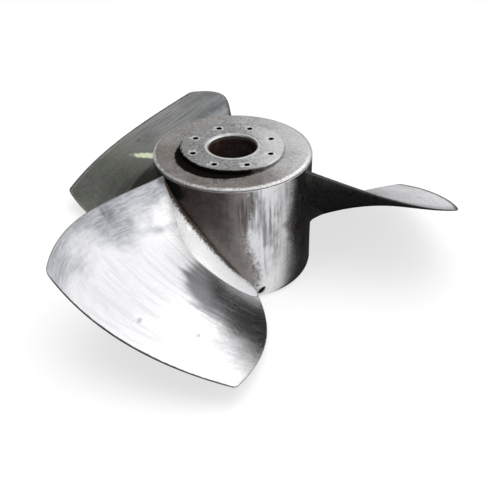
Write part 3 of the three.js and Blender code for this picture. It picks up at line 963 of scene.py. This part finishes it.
def hole_wall(hub, around):
    """Radius and depth down a tapped hole: a countersink, a screw thread whose radius swings with height and
    angle together, a plain bore and a conical end."""
    heights = np.arange(0.0, THREAD_TURNS, 1 / THREAD_STEPS) * hub.thread_pitch
    phase = heights[:, None] / hub.thread_pitch + around / TURN
    swing = np.abs((phase % 1.0) * 2 - 1)
    thread = hub.hole_radius + hub.thread_depth * (swing - 0.6)
    mouth = np.full((1, len(around)), hub.hole_radius + hub.hole_mouth)
    bore = 0.93 * hub.hole_radius
    point, point_depth = 1e-7, hub.hole_depth + 0.005
    bore_top = hub.hole_mouth + (THREAD_TURNS + 0.3) * hub.thread_pitch
    sizes = np.concatenate([mouth, thread, np.tile([[bore], [bore], [point]], len(around))])
    depths = np.r_[0.0, hub.hole_mouth + heights, bore_top, hub.hole_depth, point_depth]
    return sizes, depths[:, None]


def face_wear_and_glints(x, y, mouth, random):
    """Wear of the boss face round a tapped hole, by place from its middle: a ring round its rim and three
    worn spots of random place and size beside it. Ring and spots also stand as painted highlights by the
    hole."""
    from_rim = np.hypot(x, y) - mouth
    worn = 0.9 * np.clip(1.2 - from_rim / 0.014, 0, 1) * (from_rim > 0.0006)
    worn[0] = 0.5
    for _ in range(SPOTS):
        way = random.normal(math.pi, 0.9)
        away = random.uniform(0.020, 0.027)
        size = random.uniform(0.007, 0.0115)
        worn = np.maximum(worn, 0.98 * oval(x, y, (size, size), (away * math.cos(way), away * math.sin(way))))
    return worn


def add_hole(hub, shell, share, centre, random):
    """Adds a tapped hole and its share of the boss face, darkened with painted shadow along the rim at the
    front left.
    """
    around, radius, angle = share
    face = polar(radius, angle + centre, BOSS_TOP)
    hole_x = hub.hole_circle * math.cos(centre)
    hole_y = hub.hole_circle * math.sin(centre)
    # Wear and painted highlights round the hole.
    worn = face_wear_and_glints(face[..., 0] - hole_x, face[..., 1] - hole_y, hub.hole_radius + hub.hole_mouth, random)
    rim = BOSS_RADIUS - hub.boss_chamfer
    # Painted shadow along the boss's rim at the front left.
    shadowed = 0.75 * rise(radius, rim - 0.014, 0.014) * lobe(angle + centre, SHADOWED_SIDE) ** 4
    shell.grid(face, edge=worn, grime=shadowed)
    sizes, depths = hole_wall(hub, around)
    wall = polar(sizes, around + centre, BOSS_TOP - depths) + np.array([hole_x, hole_y, 0.0])
    # Painted shade inside the hole, darker with depth.
    shell.grid(wall, edge=0.5 * (depths == 0), grime=np.clip(0.35 + depths / 0.004, 0, 1))


def build_shaft_boss(hub):
    """Shaft boss. Its top face is made of like shares, one to each tapped hole, and its sides are a profile
    turned round the axis. The wear of the upper edge is hidden at the front left, where its painted shadow
    lies."""
    share = hole_share(hub)
    random = np.random.default_rng(HOLE_SEED)
    shell = Shell("edge", "grime")
    for centre in hub.first_hole + circle_angles(hub.holes):
        add_hole(hub, shell, share, centre, random)
    inner = SLEEVE_RADIUS + FIT_GAP
    cut = hub.break_edge
    chamfer = hub.boss_chamfer
    profile = np.array([
        (inner + cut, BOSS_TOP), (inner, BOSS_TOP - cut), (inner, BOSS_FOOT + cut),
        (inner + cut, BOSS_FOOT), (BOSS_RADIUS - cut, BOSS_FOOT), (BOSS_RADIUS, BOSS_FOOT + cut),
        (BOSS_RADIUS, PLATE_TOP), (BOSS_RADIUS, PLATE_TOP + 0.005), (BOSS_RADIUS, BOSS_TOP - chamfer - 0.001),
        (BOSS_RADIUS - cut / 4, BOSS_TOP - chamfer), (BOSS_RADIUS - chamfer, BOSS_TOP)])
    angles = circle_angles(hub.holes * SIDE_STEPS, hub.first_hole - TURN / hub.holes / 2)
    edge = np.array([0.8, 0, 0, 0, 0, 0, 0, 0, 1, 1, 1])[:, None]
    # Painted shadow: the bright worn edge is darkened on the boss's shadowed side.
    worn = edge * (1 - 0.95 * lobe(angles, SHADOWED_SIDE) ** 3)
    # Painted shadow on the boss's wall at its foot.
    shell.grid(turned(profile, angles), edge=worn, grime=foot_grime(angles, profile[:, :1], profile[:, 1:]))
    add_piece("flange_boss", shell, boss_steel(), "machined_steel", "shaft_boss")


# Rings and ribs

def build_ring(name, node, outline, ease, material, slot):
    """Closed outline with eased corners, turned round the axis."""
    profile, worn = softened(outline, ease)
    shell = grid_shell(turned(profile, circle_angles(BORE_STEPS)), edge=worn[:, None])
    add_piece(name, shell, material, slot, node)


def build_bore_sleeve(hub):
    """Bore sleeve: a tube with a chamfered mouth."""
    outline = [(hub.bore_radius, SLEEVE_FOOT), (SLEEVE_RADIUS, SLEEVE_FOOT), (SLEEVE_RADIUS, BOSS_TOP),
               (hub.bore_radius + hub.bore_chamfer, BOSS_TOP), (hub.bore_radius, BOSS_TOP - hub.bore_chamfer)]
    build_ring("bore_lining", "bore_sleeve", outline, hub.break_edge, bore_steel(), "machined_steel")


def build_bottom_ring(hub):
    """Ring at the hub's foot, of flat section."""
    outline = [(hub.ring_inner, RING_FOOT), (RING_RADIUS, RING_FOOT), (RING_RADIUS, RING_TOP),
               (hub.ring_inner, RING_TOP)]
    build_ring("foot_ring", "hub_bottom_ring", outline, 0.002, inner_steel(), "inner_steel")


def build_ribs(hub):
    """Ribs: tall outside and notched round the shaft boss, an eased outline given the plate's thickness and
    turned to its place about the axis."""
    inner = SLEEVE_RADIUS + FIT_GAP
    notch = BOSS_RADIUS + 2 * FIT_GAP
    notch_top = BOSS_FOOT - FIT_GAP
    corners = [(inner, RIB_FOOT), (RIB_OUTER, RIB_FOOT), (RIB_OUTER, RIB_TOP), (notch, RIB_TOP),
               (notch, notch_top), (inner, notch_top)]
    outline, worn = softened(corners, 0.0015, 3)
    count = len(outline)
    across = np.array([-0.5, 0.5])[:, None] * hub.rib_thickness
    sides = np.stack([np.arange(count), np.arange(2 * count - 1, count - 1, -1)])
    for index, angle in enumerate(circle_angles(RIBS)):
        points = beside_ray(outline[:, 0], across, outline[:, 1], angle)
        shell = grid_shell(points, close_rows=False, edge=worn)
        shell.add(points, sides, edge=worn)
        add_piece(f"rib_plate_{index + 1}", shell, inner_steel(), "inner_steel", f"hub_rib_{index + 1}")


def add_rib_weld(hub, shell, angle, side, wall, inward, top):
    """Adds a fillet weld: a hollow triangular section carried up a corner, its leg rippling with height."""
    foot_gap, ripple_length, sunk, buried = 0.006, 0.008, 0.001, 0.002
    around = quarter(CORNER_STEPS)
    heights = np.linspace(RING_TOP + foot_gap, top - foot_gap, WELD_STEPS)[:, None]
    leg = hub.weld_leg * (1 + 0.1 * np.sin(TURN * heights / ripple_length))
    corner = np.full((len(heights), 1), -buried)
    away = np.concatenate([leg * (1 - np.sin(around)) - sunk, corner], axis=1)
    beside = np.concatenate([leg * (1 - np.cos(around)) - sunk, corner], axis=1)
    points = beside_ray(wall + inward * away, side * (hub.rib_thickness / 2 + beside), heights, angle)
    shell.grid(points)
    columns = np.arange(points.shape[1])
    shell.add(points, np.stack([columns, columns + (len(heights) - 1) * len(columns)]))


def build_rib_welds(hub):
    """Fillet welds up both sides of each rib, at the sleeve and at the barrel."""
    shell = Shell()
    for angle in circle_angles(RIBS):
        for side in (-1, 1):
            add_rib_weld(hub, shell, angle, side, SLEEVE_RADIUS, 1, BOSS_FOOT)
            add_rib_weld(hub, shell, angle, side, RING_RADIUS, -1, RIB_TOP)
    add_piece("rib_welds", shell, weld_steel(), "weld_steel")


# Blades

def corner_turn(sizes, span):
    """How far an edge turns inward to round its corner at the tip: a quarter circle over the last stretch."""
    share = sizes.corner / (sizes.tip_radius - BARREL_RADIUS)
    return sizes.corner / sizes.tip_radius * (1 - np.sqrt(1 - rise(span, 1 - share, share) ** 2))


def edge_course(sizes, swept, heights, inward, span):
    """Angle and height of an edge. The angle is a cubic in span. The height follows the screw's pitch as
    the angle changes, and droops and sags with span."""
    angle = swept[0] + swept[1] * span + swept[2] * span ** 2 + swept[3] * span ** 3
    angle = angle + inward * corner_turn(sizes, span)
    height = heights[0] - sizes.pitch * (angle - swept[0]) + heights[1] * span
    return angle, height + heights[2] * 4 * span * (1 - span)


def blade_edges(sizes, span):
    """Angle and height of the leading edge, and then of the trailing edge."""
    return (*edge_course(sizes, sizes.leading_sweep, sizes.leading_heights, 1, span),
            *edge_course(sizes, sizes.trailing_sweep, sizes.trailing_heights, -1, span))


def section_length(sizes, span):
    """Length of a section along the screw surface: its angle times the hypotenuse of radius and pitch."""
    start, _, end, _ = blade_edges(sizes, span)
    return (end - start) * np.hypot(BARREL_RADIUS + (sizes.tip_radius - BARREL_RADIUS) * span, sizes.pitch)


def screw_face(sizes, span, chord):
    """Angle and height of the upper face: straight between the two edges in the unrolled cylinder, with a
    camber and an S-bend that both vanish at the edges."""
    start_angle, start_height, end_angle, end_height = blade_edges(sizes, span)
    camber = between(sizes.camber, span) + sizes.camber[2] * 4 * span * (1 - span)
    bow = chord * (1 - chord) * (4 * camber + between(sizes.reflex, span) * (1 - 2 * chord))
    return between((start_angle, end_angle), chord), between((start_height, end_height), chord) + bow


def face_depths(sizes, span, chord):
    """Depth of the upper and lower faces under the screw surface: a round nose, then a swelling that goes
    as the root of the chord times one less the chord, thinning by a power law of e towards the tip."""
    edge = between(sizes.edge_thickness, span)
    thinned = (1 - np.exp(-sizes.thinning * span)) / (1 - math.exp(-sizes.thinning))
    swelling = 1.5 * math.sqrt(3) * np.sqrt(np.clip(chord, 0, 1)) * (1 - chord)
    rounding = np.sqrt(1 - (1 - rise(chord, 0, sizes.nose)) ** 2)
    lower = edge * (1 + rounding) / 2 + (between(sizes.thickness, thinned) - edge) * swelling
    return edge * (1 - rounding) / 2, lower


def blade_point(sizes, span, chord, depth):
    """Point at a depth under the screw surface, square to it in the unrolled cylinder."""
    step = 0.001
    radius = between((BARREL_RADIUS + ROOT_GAP, sizes.tip_radius), span)
    angle, height = screw_face(sizes, span, chord)
    ahead_angle, ahead_height = screw_face(sizes, span, chord + step)
    back_angle, back_height = screw_face(sizes, span, chord - step)
    along = radius * (ahead_angle - back_angle)
    up = ahead_height - back_height
    size = np.hypot(along, up)
    return polar(radius, angle + depth * up / size / radius, height - depth * along / size + PLATE_TOP)


def blade_spans(sizes):
    """Span stations from inside the barrel to the tip, and how far both faces draw in to round the tip."""
    length = sizes.tip_radius - BARREL_RADIUS
    last = 1 - sizes.tip_clearance / length
    corner = sizes.corner / length
    rounded = TIP_ROUND / length
    arc = quarter(CORNER_STEPS)[1:]
    straight = np.linspace(-0.012, last - corner, SPAN_STEPS)
    curved = last - corner + (corner - rounded) * np.sin(quarter(10))[1:]
    tip = last - rounded * (1 - np.sin(arc))
    inset = np.concatenate([np.zeros(len(straight) + len(curved)), TIP_ROUND * (1 - np.cos(arc))])
    return np.concatenate([straight, curved, tip])[:, None], inset[:, None], last


def blade_section():
    """Stations round a section, from the trailing edge over the upper face, round the nose and back under
    the lower face: the chord, the share of the thickness above the point, and how far out it lies on the
    rounding of the trailing edge."""
    arc = quarter(CORNER_STEPS)
    down = EDGE_SHARE * (1 - np.cos(arc))
    stations = close_at_ends(SECTION_STEPS)
    upper = stations[-2::-1]
    lower = stations[1:-1]
    ends = np.ones(CORNER_STEPS)
    chord = np.concatenate([ends, upper, lower, ends])
    above = np.concatenate([down[::-1], np.zeros(len(upper)), np.ones(len(lower)), 1 - down])
    out = np.concatenate([np.sin(arc)[::-1], np.zeros(len(upper) + len(lower)), np.sin(arc)])
    return chord, above, out


def grinding_waves(span, chord, thickness, seed):
    """Waves left by hand grinding, a mean of six sines of random length in chord and span. They die away
    towards the edges, the tip and wherever the blade is thin."""
    sines = 6
    random = np.random.default_rng(seed)
    phases = random.uniform(0, TURN, sines)
    counts = random.uniform(4, 16, (sines, 2))
    waves = sum(np.sin(TURN * (a * chord * 0.6 + b * span * 0.5) + phase)
                for (a, b), phase in zip(counts, phases)) / sines
    calm = rise(np.minimum(chord, 1 - chord), 0, 0.06) * rise(span, 1, -0.05) * rise(thickness, 0, 0.012)
    return (1 + waves) * calm


def stain_mark(span, chord):
    """Dark stain from mid chord to the trailing edge. It reaches from the root to a border that moves out in
    a straight line with the chord, is thinner near the root and fades towards the trailing edge. A spot and
    a dark corner at the root lie near the leading edge."""
    border = 0.37 + 0.80 * np.clip(chord - 0.52, 0, 0.24)
    stain = rise(span, border + 0.08, -0.16) * rise(chord, 0.45, 0.10)
    stain = stain * (1 - 0.35 * rise(span, 0.32, -0.12) * rise(chord, 0.86, -0.1))
    stain = stain * (1 - 0.54 * eased(rise(chord, 0.62, 0.16)))
    spot = 0.56 * oval(span, chord, size=(0.08, 0.08), middle=(0.43, 0.06))
    corner = 0.9 * oval(span, chord, size=(0.035, 0.045), middle=(0.02, 0.03))
    return np.maximum(stain, spot + corner)


def dulled_mark(span, chord):
    """Dulled steel. It fades away from the leading edge, reaches further in at a spot at mid span, and has a
    faint band beside the root and one near the tip."""
    leading = np.exp(-(chord / 0.155) ** 1.5) * (1.02 - 0.22 * rise(span, 0.52, 0.1))
    spot = 0.75 * hump(span, 0.47, 0.11) * rise(chord, 0.36, -0.2)
    beside = 0.42 * hump(chord, 0.34 - 0.36 * span, 0.024) * rise(span, 0.36, -0.08)
    outer = 0.18 * rise(span, 0.72, 0.2) * rise(chord, 0.42, -0.3)
    return np.clip(leading + spot + beside + outer, 0, 1.15)


def behind_hub_shade_mark(span, chord):
    """Painted shade on the blade behind the hub: faint near its leading edge, denser from past mid chord on,
    with a dark streak at mid chord and a painted highlight strip along the tip."""
    streak = 0.30 * hump(chord, 0.45, 0.05) * rise(span, 0.60, 0.08)
    brighter = 0.30 * rise(span, 0.82, 0.08) * rise(chord, 0.70, -0.1)
    return 0.22 + 0.30 * rise(chord, 0.62, 0.12) + streak - brighter


def grey_edge_mark(span, chord):
    """Dull strip along the leading edge of the blade at the right, over the outer part but not the tip."""
    return 0.9 * hump(chord, 0, 0.13) * rise(span, 0.48, 0.1) * rise(span, 0.90, -0.08)


def smudge_mark(span, chord):
    """Two smudges far out on the bright part."""
    inner = oval(span, chord, size=(0.03, 0.014), middle=(0.69, 0.715))
    return np.clip(oval(span, chord, size=(0.035, 0.02), middle=(0.81, 0.49)) + inner, 0, 1)


def painted_streak_mark(span, chord):
    """A painted highlight streak, narrow across the chord and drawn out along the span, fading outward."""
    return hump(chord, 0.509 + 0.30 * (span - 0.48), 0.020) * rise(span, 0.40, 0.05) * rise(span, 0.84, -0.24)


def blade_marks(span, chord, seed):
    """Marks of the upper face. The blade behind the hub has painted shade, an olive tint of painted shade,
    streaks and a painted highlight streak. The others have a painted highlight patch beside the root fillet."""
    dulled = dulled_mark(span, chord)
    behind_hub = seed == BLADE_BEHIND_HUB
    if behind_hub:
        # Painted shade on the blade behind the hub, laid over its dulled steel.
        dulled = 0.6 * dulled + behind_hub_shade_mark(span, chord)
    if seed == GREY_EDGED_BLADE:
        dulled = dulled + grey_edge_mark(span, chord)
    return dict(
        stain=stain_mark(span, chord), dulled=dulled, smudge=smudge_mark(span, chord),
        fresh=oval(span, chord, size=(0.10, 0.13), middle=(0.14, 0.25)) * (not behind_hub),
        smear=painted_streak_mark(span, chord) * behind_hub, film=rise(chord, 0.35, 0.3) * behind_hub,
        streaked=rise(chord, 0.55, -0.2) * behind_hub)


def blade_shell(sizes, seed):
    """One blade as a closed section carried from inside the barrel to the tip. A band of painted shade along
    its edges fades as a power of e inward, and one along its tip fades as a bell curve."""
    span, inset, last = blade_spans(sizes)
    chord, share, out = blade_section()
    span_length = sizes.tip_radius - BARREL_RADIUS
    chord_length = section_length(sizes, span)
    corner = EDGE_SHARE * between(sizes.edge_thickness, span) / chord_length
    chord = chord * (1 - corner) + corner * out

    upper, lower = face_depths(sizes, span, chord)
    thickness = lower - upper
    held = np.minimum(inset, 0.45 * thickness)
    depth = upper + held + (thickness - 2 * held) * share
    depth = depth + sizes.waviness * grinding_waves(span, chord, thickness, seed) * (0.5 - share)
    points = blade_point(sizes, span, chord, depth)

    top = 1 - share
    from_edge = np.minimum(np.minimum(chord, 1 - chord) * chord_length, (last - span) * span_length)
    edge = np.maximum(np.exp(-np.clip(from_edge, 0, 1) / sizes.edge_bands[seed - 1]),
                      hump((last - span) * span_length, 0, sizes.tip_bands[seed - 1]))
    marks = {name: values * top for name, values in blade_marks(span, chord, seed).items()}
    marks.update(edge=edge, chord_way=chord * chord_length, span_way=span * span_length,
                 face_side=top * 3 + seed, under=share)
    shell = grid_shell(points, close_rows=False, **marks)
    columns = points.shape[1]
    near = np.arange(columns // 2 - 1)
    far = columns - 1 - near
    for first in (0, (len(span) - 1) * columns):
        shell.add(points, np.stack([near, near + 1, far - 1, far], axis=1) + first, **marks)
    return shell


def build_blades(sizes):
    for index, turn in enumerate(circle_angles(BLADES)):
        shell = blade_shell(sizes, index + 1)
        node = f"blade_{index + 1}"
        add_piece(f"blade_skin_{index + 1}", shell, blade_steel(), "blade_steel", node, turn=-turn)


def fillet_shell(sizes, fillet, side):
    """Root fillet: a section in the corner of blade and barrel, carried along the chord. Its height is a sum
    of two powers of the share left to the toe, a low one for the long ground slope and a high one for the
    weld that climbs the barrel. Its size goes as a power of the sine along the chord, with blunt ends."""
    t = close_at_ends(FILLET_STEPS)[:, None]
    chord = 0.03 + 0.96 * t
    size = np.clip(np.sin(math.pi * t), 0, 1) ** (0.33 if side > 0 else 0.6)
    size = size * (0.17 + 0.83 * eased(rise(chord, 0.10, 0.42)))
    q = np.linspace(0, 1, FILLET_ROWS)
    flush = rise(chord, 0.54, -0.16)
    climb = 0.55 * (1 - q) ** (1.1 + 1.1 * flush) + 0.45 * (1 - q) ** 9
    toe = sizes.fillet_toe / fillet[0] * (1 - 0.92 * flush)
    arc = quarter(CORNER_STEPS)[1:]
    rounded = 1 + toe * np.sin(arc) * fillet[0] / fillet[1]
    rows = (len(chord), 1)
    out = np.concatenate([np.tile(q, rows), rounded, np.tile([0.5, -0.04], rows)], axis=1) * fillet[1] * size
    out[:, 0] = out[:, -1]
    away = np.concatenate([toe + (1 - toe) * climb, toe * np.cos(arc), np.tile([-0.25, -0.25], rows)], axis=1)
    away = away * fillet[0] * size
    span = out / (sizes.tip_radius - BARREL_RADIUS)
    upper, lower = face_depths(sizes, np.clip(span, 0, 1), chord)
    points = blade_point(sizes, span, chord, upper - away if side > 0 else lower + away)
    near_wall = rise(out, 0.034, -0.034) * np.clip((1.05 - chord) / 0.3, 0.6, 1) + hump(chord, 0, 0.05)
    return grid_shell(points, close_rows=False, chord_way=chord * section_length(sizes, 0.0), span_way=out,
                      stain=near_wall, dulled=0.9 * np.exp(-(chord / 0.155) ** 1.5), flush=flush,
                      under=float(side < 0))


def build_root_fillets(sizes):
    for index, turn in enumerate(circle_angles(BLADES)):
        for word, fillet, side in (("upper", sizes.upper_fillet, 1), ("under", sizes.under_fillet, -1)):
            name = f"root_fillet_{word}_{index + 1}"
            node = f"blade_{index + 1}_{word}_fillet"
            shell = fillet_shell(sizes, fillet, side)
            add_piece(name, shell, fillet_steel(), "fillet_steel", node, turn=-turn)


# Stage

def floor_seen_in_metal(tree):
    """Brightness that polished metal sees on the floor: dark by the runner, lit in a sector to the front
    right that the barrel mirrors, and lit again far behind, where the blade tips mirror it. The sector
    begins softly in front of the hub and ends sharply at its right."""
    place = here(tree)
    begins = place.vector("NORMALIZE").dot((0.978, -0.208, 0.0)).ramp(-0.20, 0.52)
    ends = place.dot((0.0, -1.0, 0.0)).ramp(0.22, 0.30)
    behind = place.dot((0.35, 0.94, 0.0)).ramp(0.75, 1.4, 0.03, 1.0)
    return (begins * ends).ramp(0.0, 1.0, 0.04, 0.95).most(behind)


def floor_material(stage):
    """Pale card with faint shadows for the camera, and the light and dark parts of the studio for metal."""
    material = bpy.data.materials.new("Pale Floor")
    material.use_nodes = True
    tree = material.node_tree
    card = tree.nodes["Principled BSDF"]
    feed(card, {"Roughness": 0.9, "Base Color": stage.floor})
    white = signal(tree, "ShaderNodeEmission", {"Color": WHITE, "Strength": 1.0})
    washed = signal(tree, "ShaderNodeMixShader", {0: stage.wash, 1: Signal(card.outputs[0]), 2: white})
    rays = put(tree, "ShaderNodeLightPath", {}).outputs
    glow = floor_seen_in_metal(tree) * Signal(rays["Is Diffuse Ray"]).ramp(0.0, 1.0, 1.0, 0.3)
    mirrored = signal(tree, "ShaderNodeEmission", {"Color": (0.985, 0.985, 1.0, 1), "Strength": glow})
    mixed = signal(tree, "ShaderNodeMixShader", {0: Signal(rays["Is Camera Ray"]), 1: mirrored, 2: washed})
    feed(tree.nodes["Material Output"], {"Surface": mixed})
    return material


def build_floor(stage):
    """Round floor just under the runner's foot."""
    rings = np.array([0.0, 0.3, 1.0, 3.0, 10.0, stage.floor_radius])[:, None]
    shell = grid_shell(polar(rings, circle_angles(96), FLOOR_HEIGHT - 0.0005), close_rows=False)
    mesh = shell.mesh("floor")
    mesh.materials.append(floor_material(stage))
    floor = bpy.data.objects.new("floor", mesh)
    bpy.context.scene.collection.objects.link(floor)


def build_world():
    """Soft surroundings: a bright panel up and to the right, a dimmer back wall and a dark left side."""
    world = bpy.data.worlds.new("Studio")
    bpy.context.scene.world = world
    world.use_nodes = True
    tree = world.node_tree
    tree.nodes.clear()
    way = signal(tree, "ShaderNodeTexCoord", {}, "Generated")
    back = way.dot((-0.35, 0.88, 0.28)).ramp(0.84, 1.0, 0.10, 0.38)
    wall = way.dot((0.05, 0.83, 0.56)).ramp(0.88, 0.99, 0.0, 0.50)
    front = way.dot((0.2, -0.9, 0.4)).ramp(0.2, 1.0, 0.0, 0.40)
    above = way.dot((0.0, 0.0, 1.0)).ramp(0.72, 1.0, 0.0, 0.30)
    panel = way.dot((0.52, 0.24, 0.82)).ramp(0.60, 0.86, 0.0, 1.04)
    side = way.dot((0.945, -0.253, 0.208)).ramp(0.64, 0.84, 0.0, 0.92)
    strength = back + wall + front + above.most(panel).most(side)
    hue = blend(way.dot((-0.8, 0.3, 0.3)).ramp(0.3, 0.9), WHITE, (0.95, 0.965, 0.92, 1))
    soft = signal(tree, "ShaderNodeBackground", {"Color": hue, "Strength": strength})
    white = signal(tree, "ShaderNodeBackground", {"Color": WHITE, "Strength": 1.0})
    seen = signal(tree, "ShaderNodeLightPath", {}, "Is Camera Ray")
    mixed = signal(tree, "ShaderNodeMixShader", {0: seen, 1: soft, 2: white})
    put(tree, "ShaderNodeOutputWorld", {0: mixed})


def add_light(name, place, size, power, mirrored=True):
    """Rectangular light that points at the runner's middle."""
    light = bpy.data.lights.new(name, "AREA")
    light.shape = "RECTANGLE"
    light.size, light.size_y = size
    light.energy = power
    lamp = bpy.data.objects.new(name, light)
    lamp.location = place
    lamp.rotation_euler = (-Vector(place)).to_track_quat("-Z", "Y").to_euler()
    lamp.visible_glossy = mirrored
    bpy.context.scene.collection.objects.link(lamp)


def build_lights():
    add_light("key_panel", (1.9, 1.7, 2.6), size=(1.5, 1.5), power=5)
    add_light("floor_panel", (0.0, -0.5, 6.0), size=(6.0, 6.0), power=330, mirrored=False)


def build_camera(stage):
    camera = bpy.data.cameras.new("camera")
    camera.lens = stage.lens
    camera.clip_end = 200
    eye = bpy.data.objects.new("camera", camera)
    place = Vector(stage.camera_place)
    view = Vector(stage.camera_aim) - place
    eye.location = place
    eye.rotation_mode = "QUATERNION"
    eye.rotation_quaternion = view.to_track_quat("-Z", "Y") @ Quaternion((0, 0, 1), stage.camera_roll)
    bpy.context.scene.collection.objects.link(eye)
    bpy.context.scene.camera = eye


# Operators

class RUNNER_OT_barrel(bpy.types.Operator):
    """Build the barrel with its rounded foot and lengthwise weld"""
    bl_idname = "runner.barrel"
    bl_label = "Barrel"

    def execute(self, context):
        build_barrel(context.scene.runner_hub)
        return {"FINISHED"}


class RUNNER_OT_top_plate(bpy.types.Operator):
    """Build the top plate with its rounded edge, and the weld bead under it"""
    bl_idname = "runner.top_plate"
    bl_label = "Top Plate"

    def execute(self, context):
        build_top_plate(context.scene.runner_hub)
        build_plate_bead(context.scene.runner_hub)
        return {"FINISHED"}


class RUNNER_OT_shaft_boss(bpy.types.Operator):
    """Build the shaft boss with its tapped holes"""
    bl_idname = "runner.shaft_boss"
    bl_label = "Shaft Boss"

    def execute(self, context):
        build_shaft_boss(context.scene.runner_hub)
        return {"FINISHED"}


class RUNNER_OT_bore_sleeve(bpy.types.Operator):
    """Build the sleeve that lines the bore"""
    bl_idname = "runner.bore_sleeve"
    bl_label = "Bore Sleeve"

    def execute(self, context):
        build_bore_sleeve(context.scene.runner_hub)
        return {"FINISHED"}


class RUNNER_OT_bottom_ring(bpy.types.Operator):
    """Build the ring in the hub's foot and its weld bead"""
    bl_idname = "runner.bottom_ring"
    bl_label = "Bottom Ring"

    def execute(self, context):
        build_bottom_ring(context.scene.runner_hub)
        build_ring_bead()
        return {"FINISHED"}


class RUNNER_OT_ribs(bpy.types.Operator):
    """Build the ribs inside the hub and their welds"""
    bl_idname = "runner.ribs"
    bl_label = "Ribs"

    def execute(self, context):
        build_ribs(context.scene.runner_hub)
        build_rib_welds(context.scene.runner_hub)
        return {"FINISHED"}


class RUNNER_OT_blades(bpy.types.Operator):
    """Build the three screw-shaped blades"""
    bl_idname = "runner.blades"
    bl_label = "Blades"

    def execute(self, context):
        build_blades(context.scene.runner_blade)
        return {"FINISHED"}


class RUNNER_OT_root_fillets(bpy.types.Operator):
    """Build the fillets where the blades run into the barrel"""
    bl_idname = "runner.root_fillets"
    bl_label = "Root Fillets"

    def execute(self, context):
        build_root_fillets(context.scene.runner_blade)
        return {"FINISHED"}


class RUNNER_OT_stage(bpy.types.Operator):
    """Set up the floor, the soft light and the camera"""
    bl_idname = "runner.stage"
    bl_label = "Stage"

    def execute(self, context):
        build_floor(context.scene.runner_stage)
        build_world()
        build_lights()
        build_camera(context.scene.runner_stage)
        context.scene.view_settings.view_transform = "Standard"
        return {"FINISHED"}


OPERATORS = (
    RUNNER_OT_stage,
    RUNNER_OT_barrel,
    RUNNER_OT_top_plate,
    RUNNER_OT_shaft_boss,
    RUNNER_OT_bore_sleeve,
    RUNNER_OT_bottom_ring,
    RUNNER_OT_ribs,
    RUNNER_OT_blades,
    RUNNER_OT_root_fillets,
)

SETTINGS = {
    "runner_hub": HubSizes,
    "runner_blade": BladeSizes,
    "runner_finishes": RunnerFinishes,
    "runner_stage": StageSettings,
}


class RUNNER_PT_tools(bpy.types.Panel):
    """Panel with a button for each group of pieces"""
    bl_idname = "RUNNER_PT_tools"
    bl_label = "Turbine Runner"
    bl_space_type = "VIEW_3D"
    bl_region_type = "UI"
    bl_category = "Runner"

    def draw(self, context):
        column = self.layout.column(align=True)
        for operator in OPERATORS:
            column.operator(operator.bl_idname)


def register():
    for kind in (*SETTINGS.values(), *OPERATORS, RUNNER_PT_tools):
        bpy.utils.register_class(kind)
    for name, kind in SETTINGS.items():
        setattr(bpy.types.Scene, name, PointerProperty(type=kind))


def unregister():
    for name in SETTINGS:
        delattr(bpy.types.Scene, name)
    for kind in (RUNNER_PT_tools, *reversed(OPERATORS), *SETTINGS.values()):
        bpy.utils.unregister_class(kind)


def main():
    register()
    for operator in OPERATORS:
        group, call = operator.bl_idname.split(".")
        getattr(getattr(bpy.ops, group), call)()


if __name__ == "__main__":
    main()
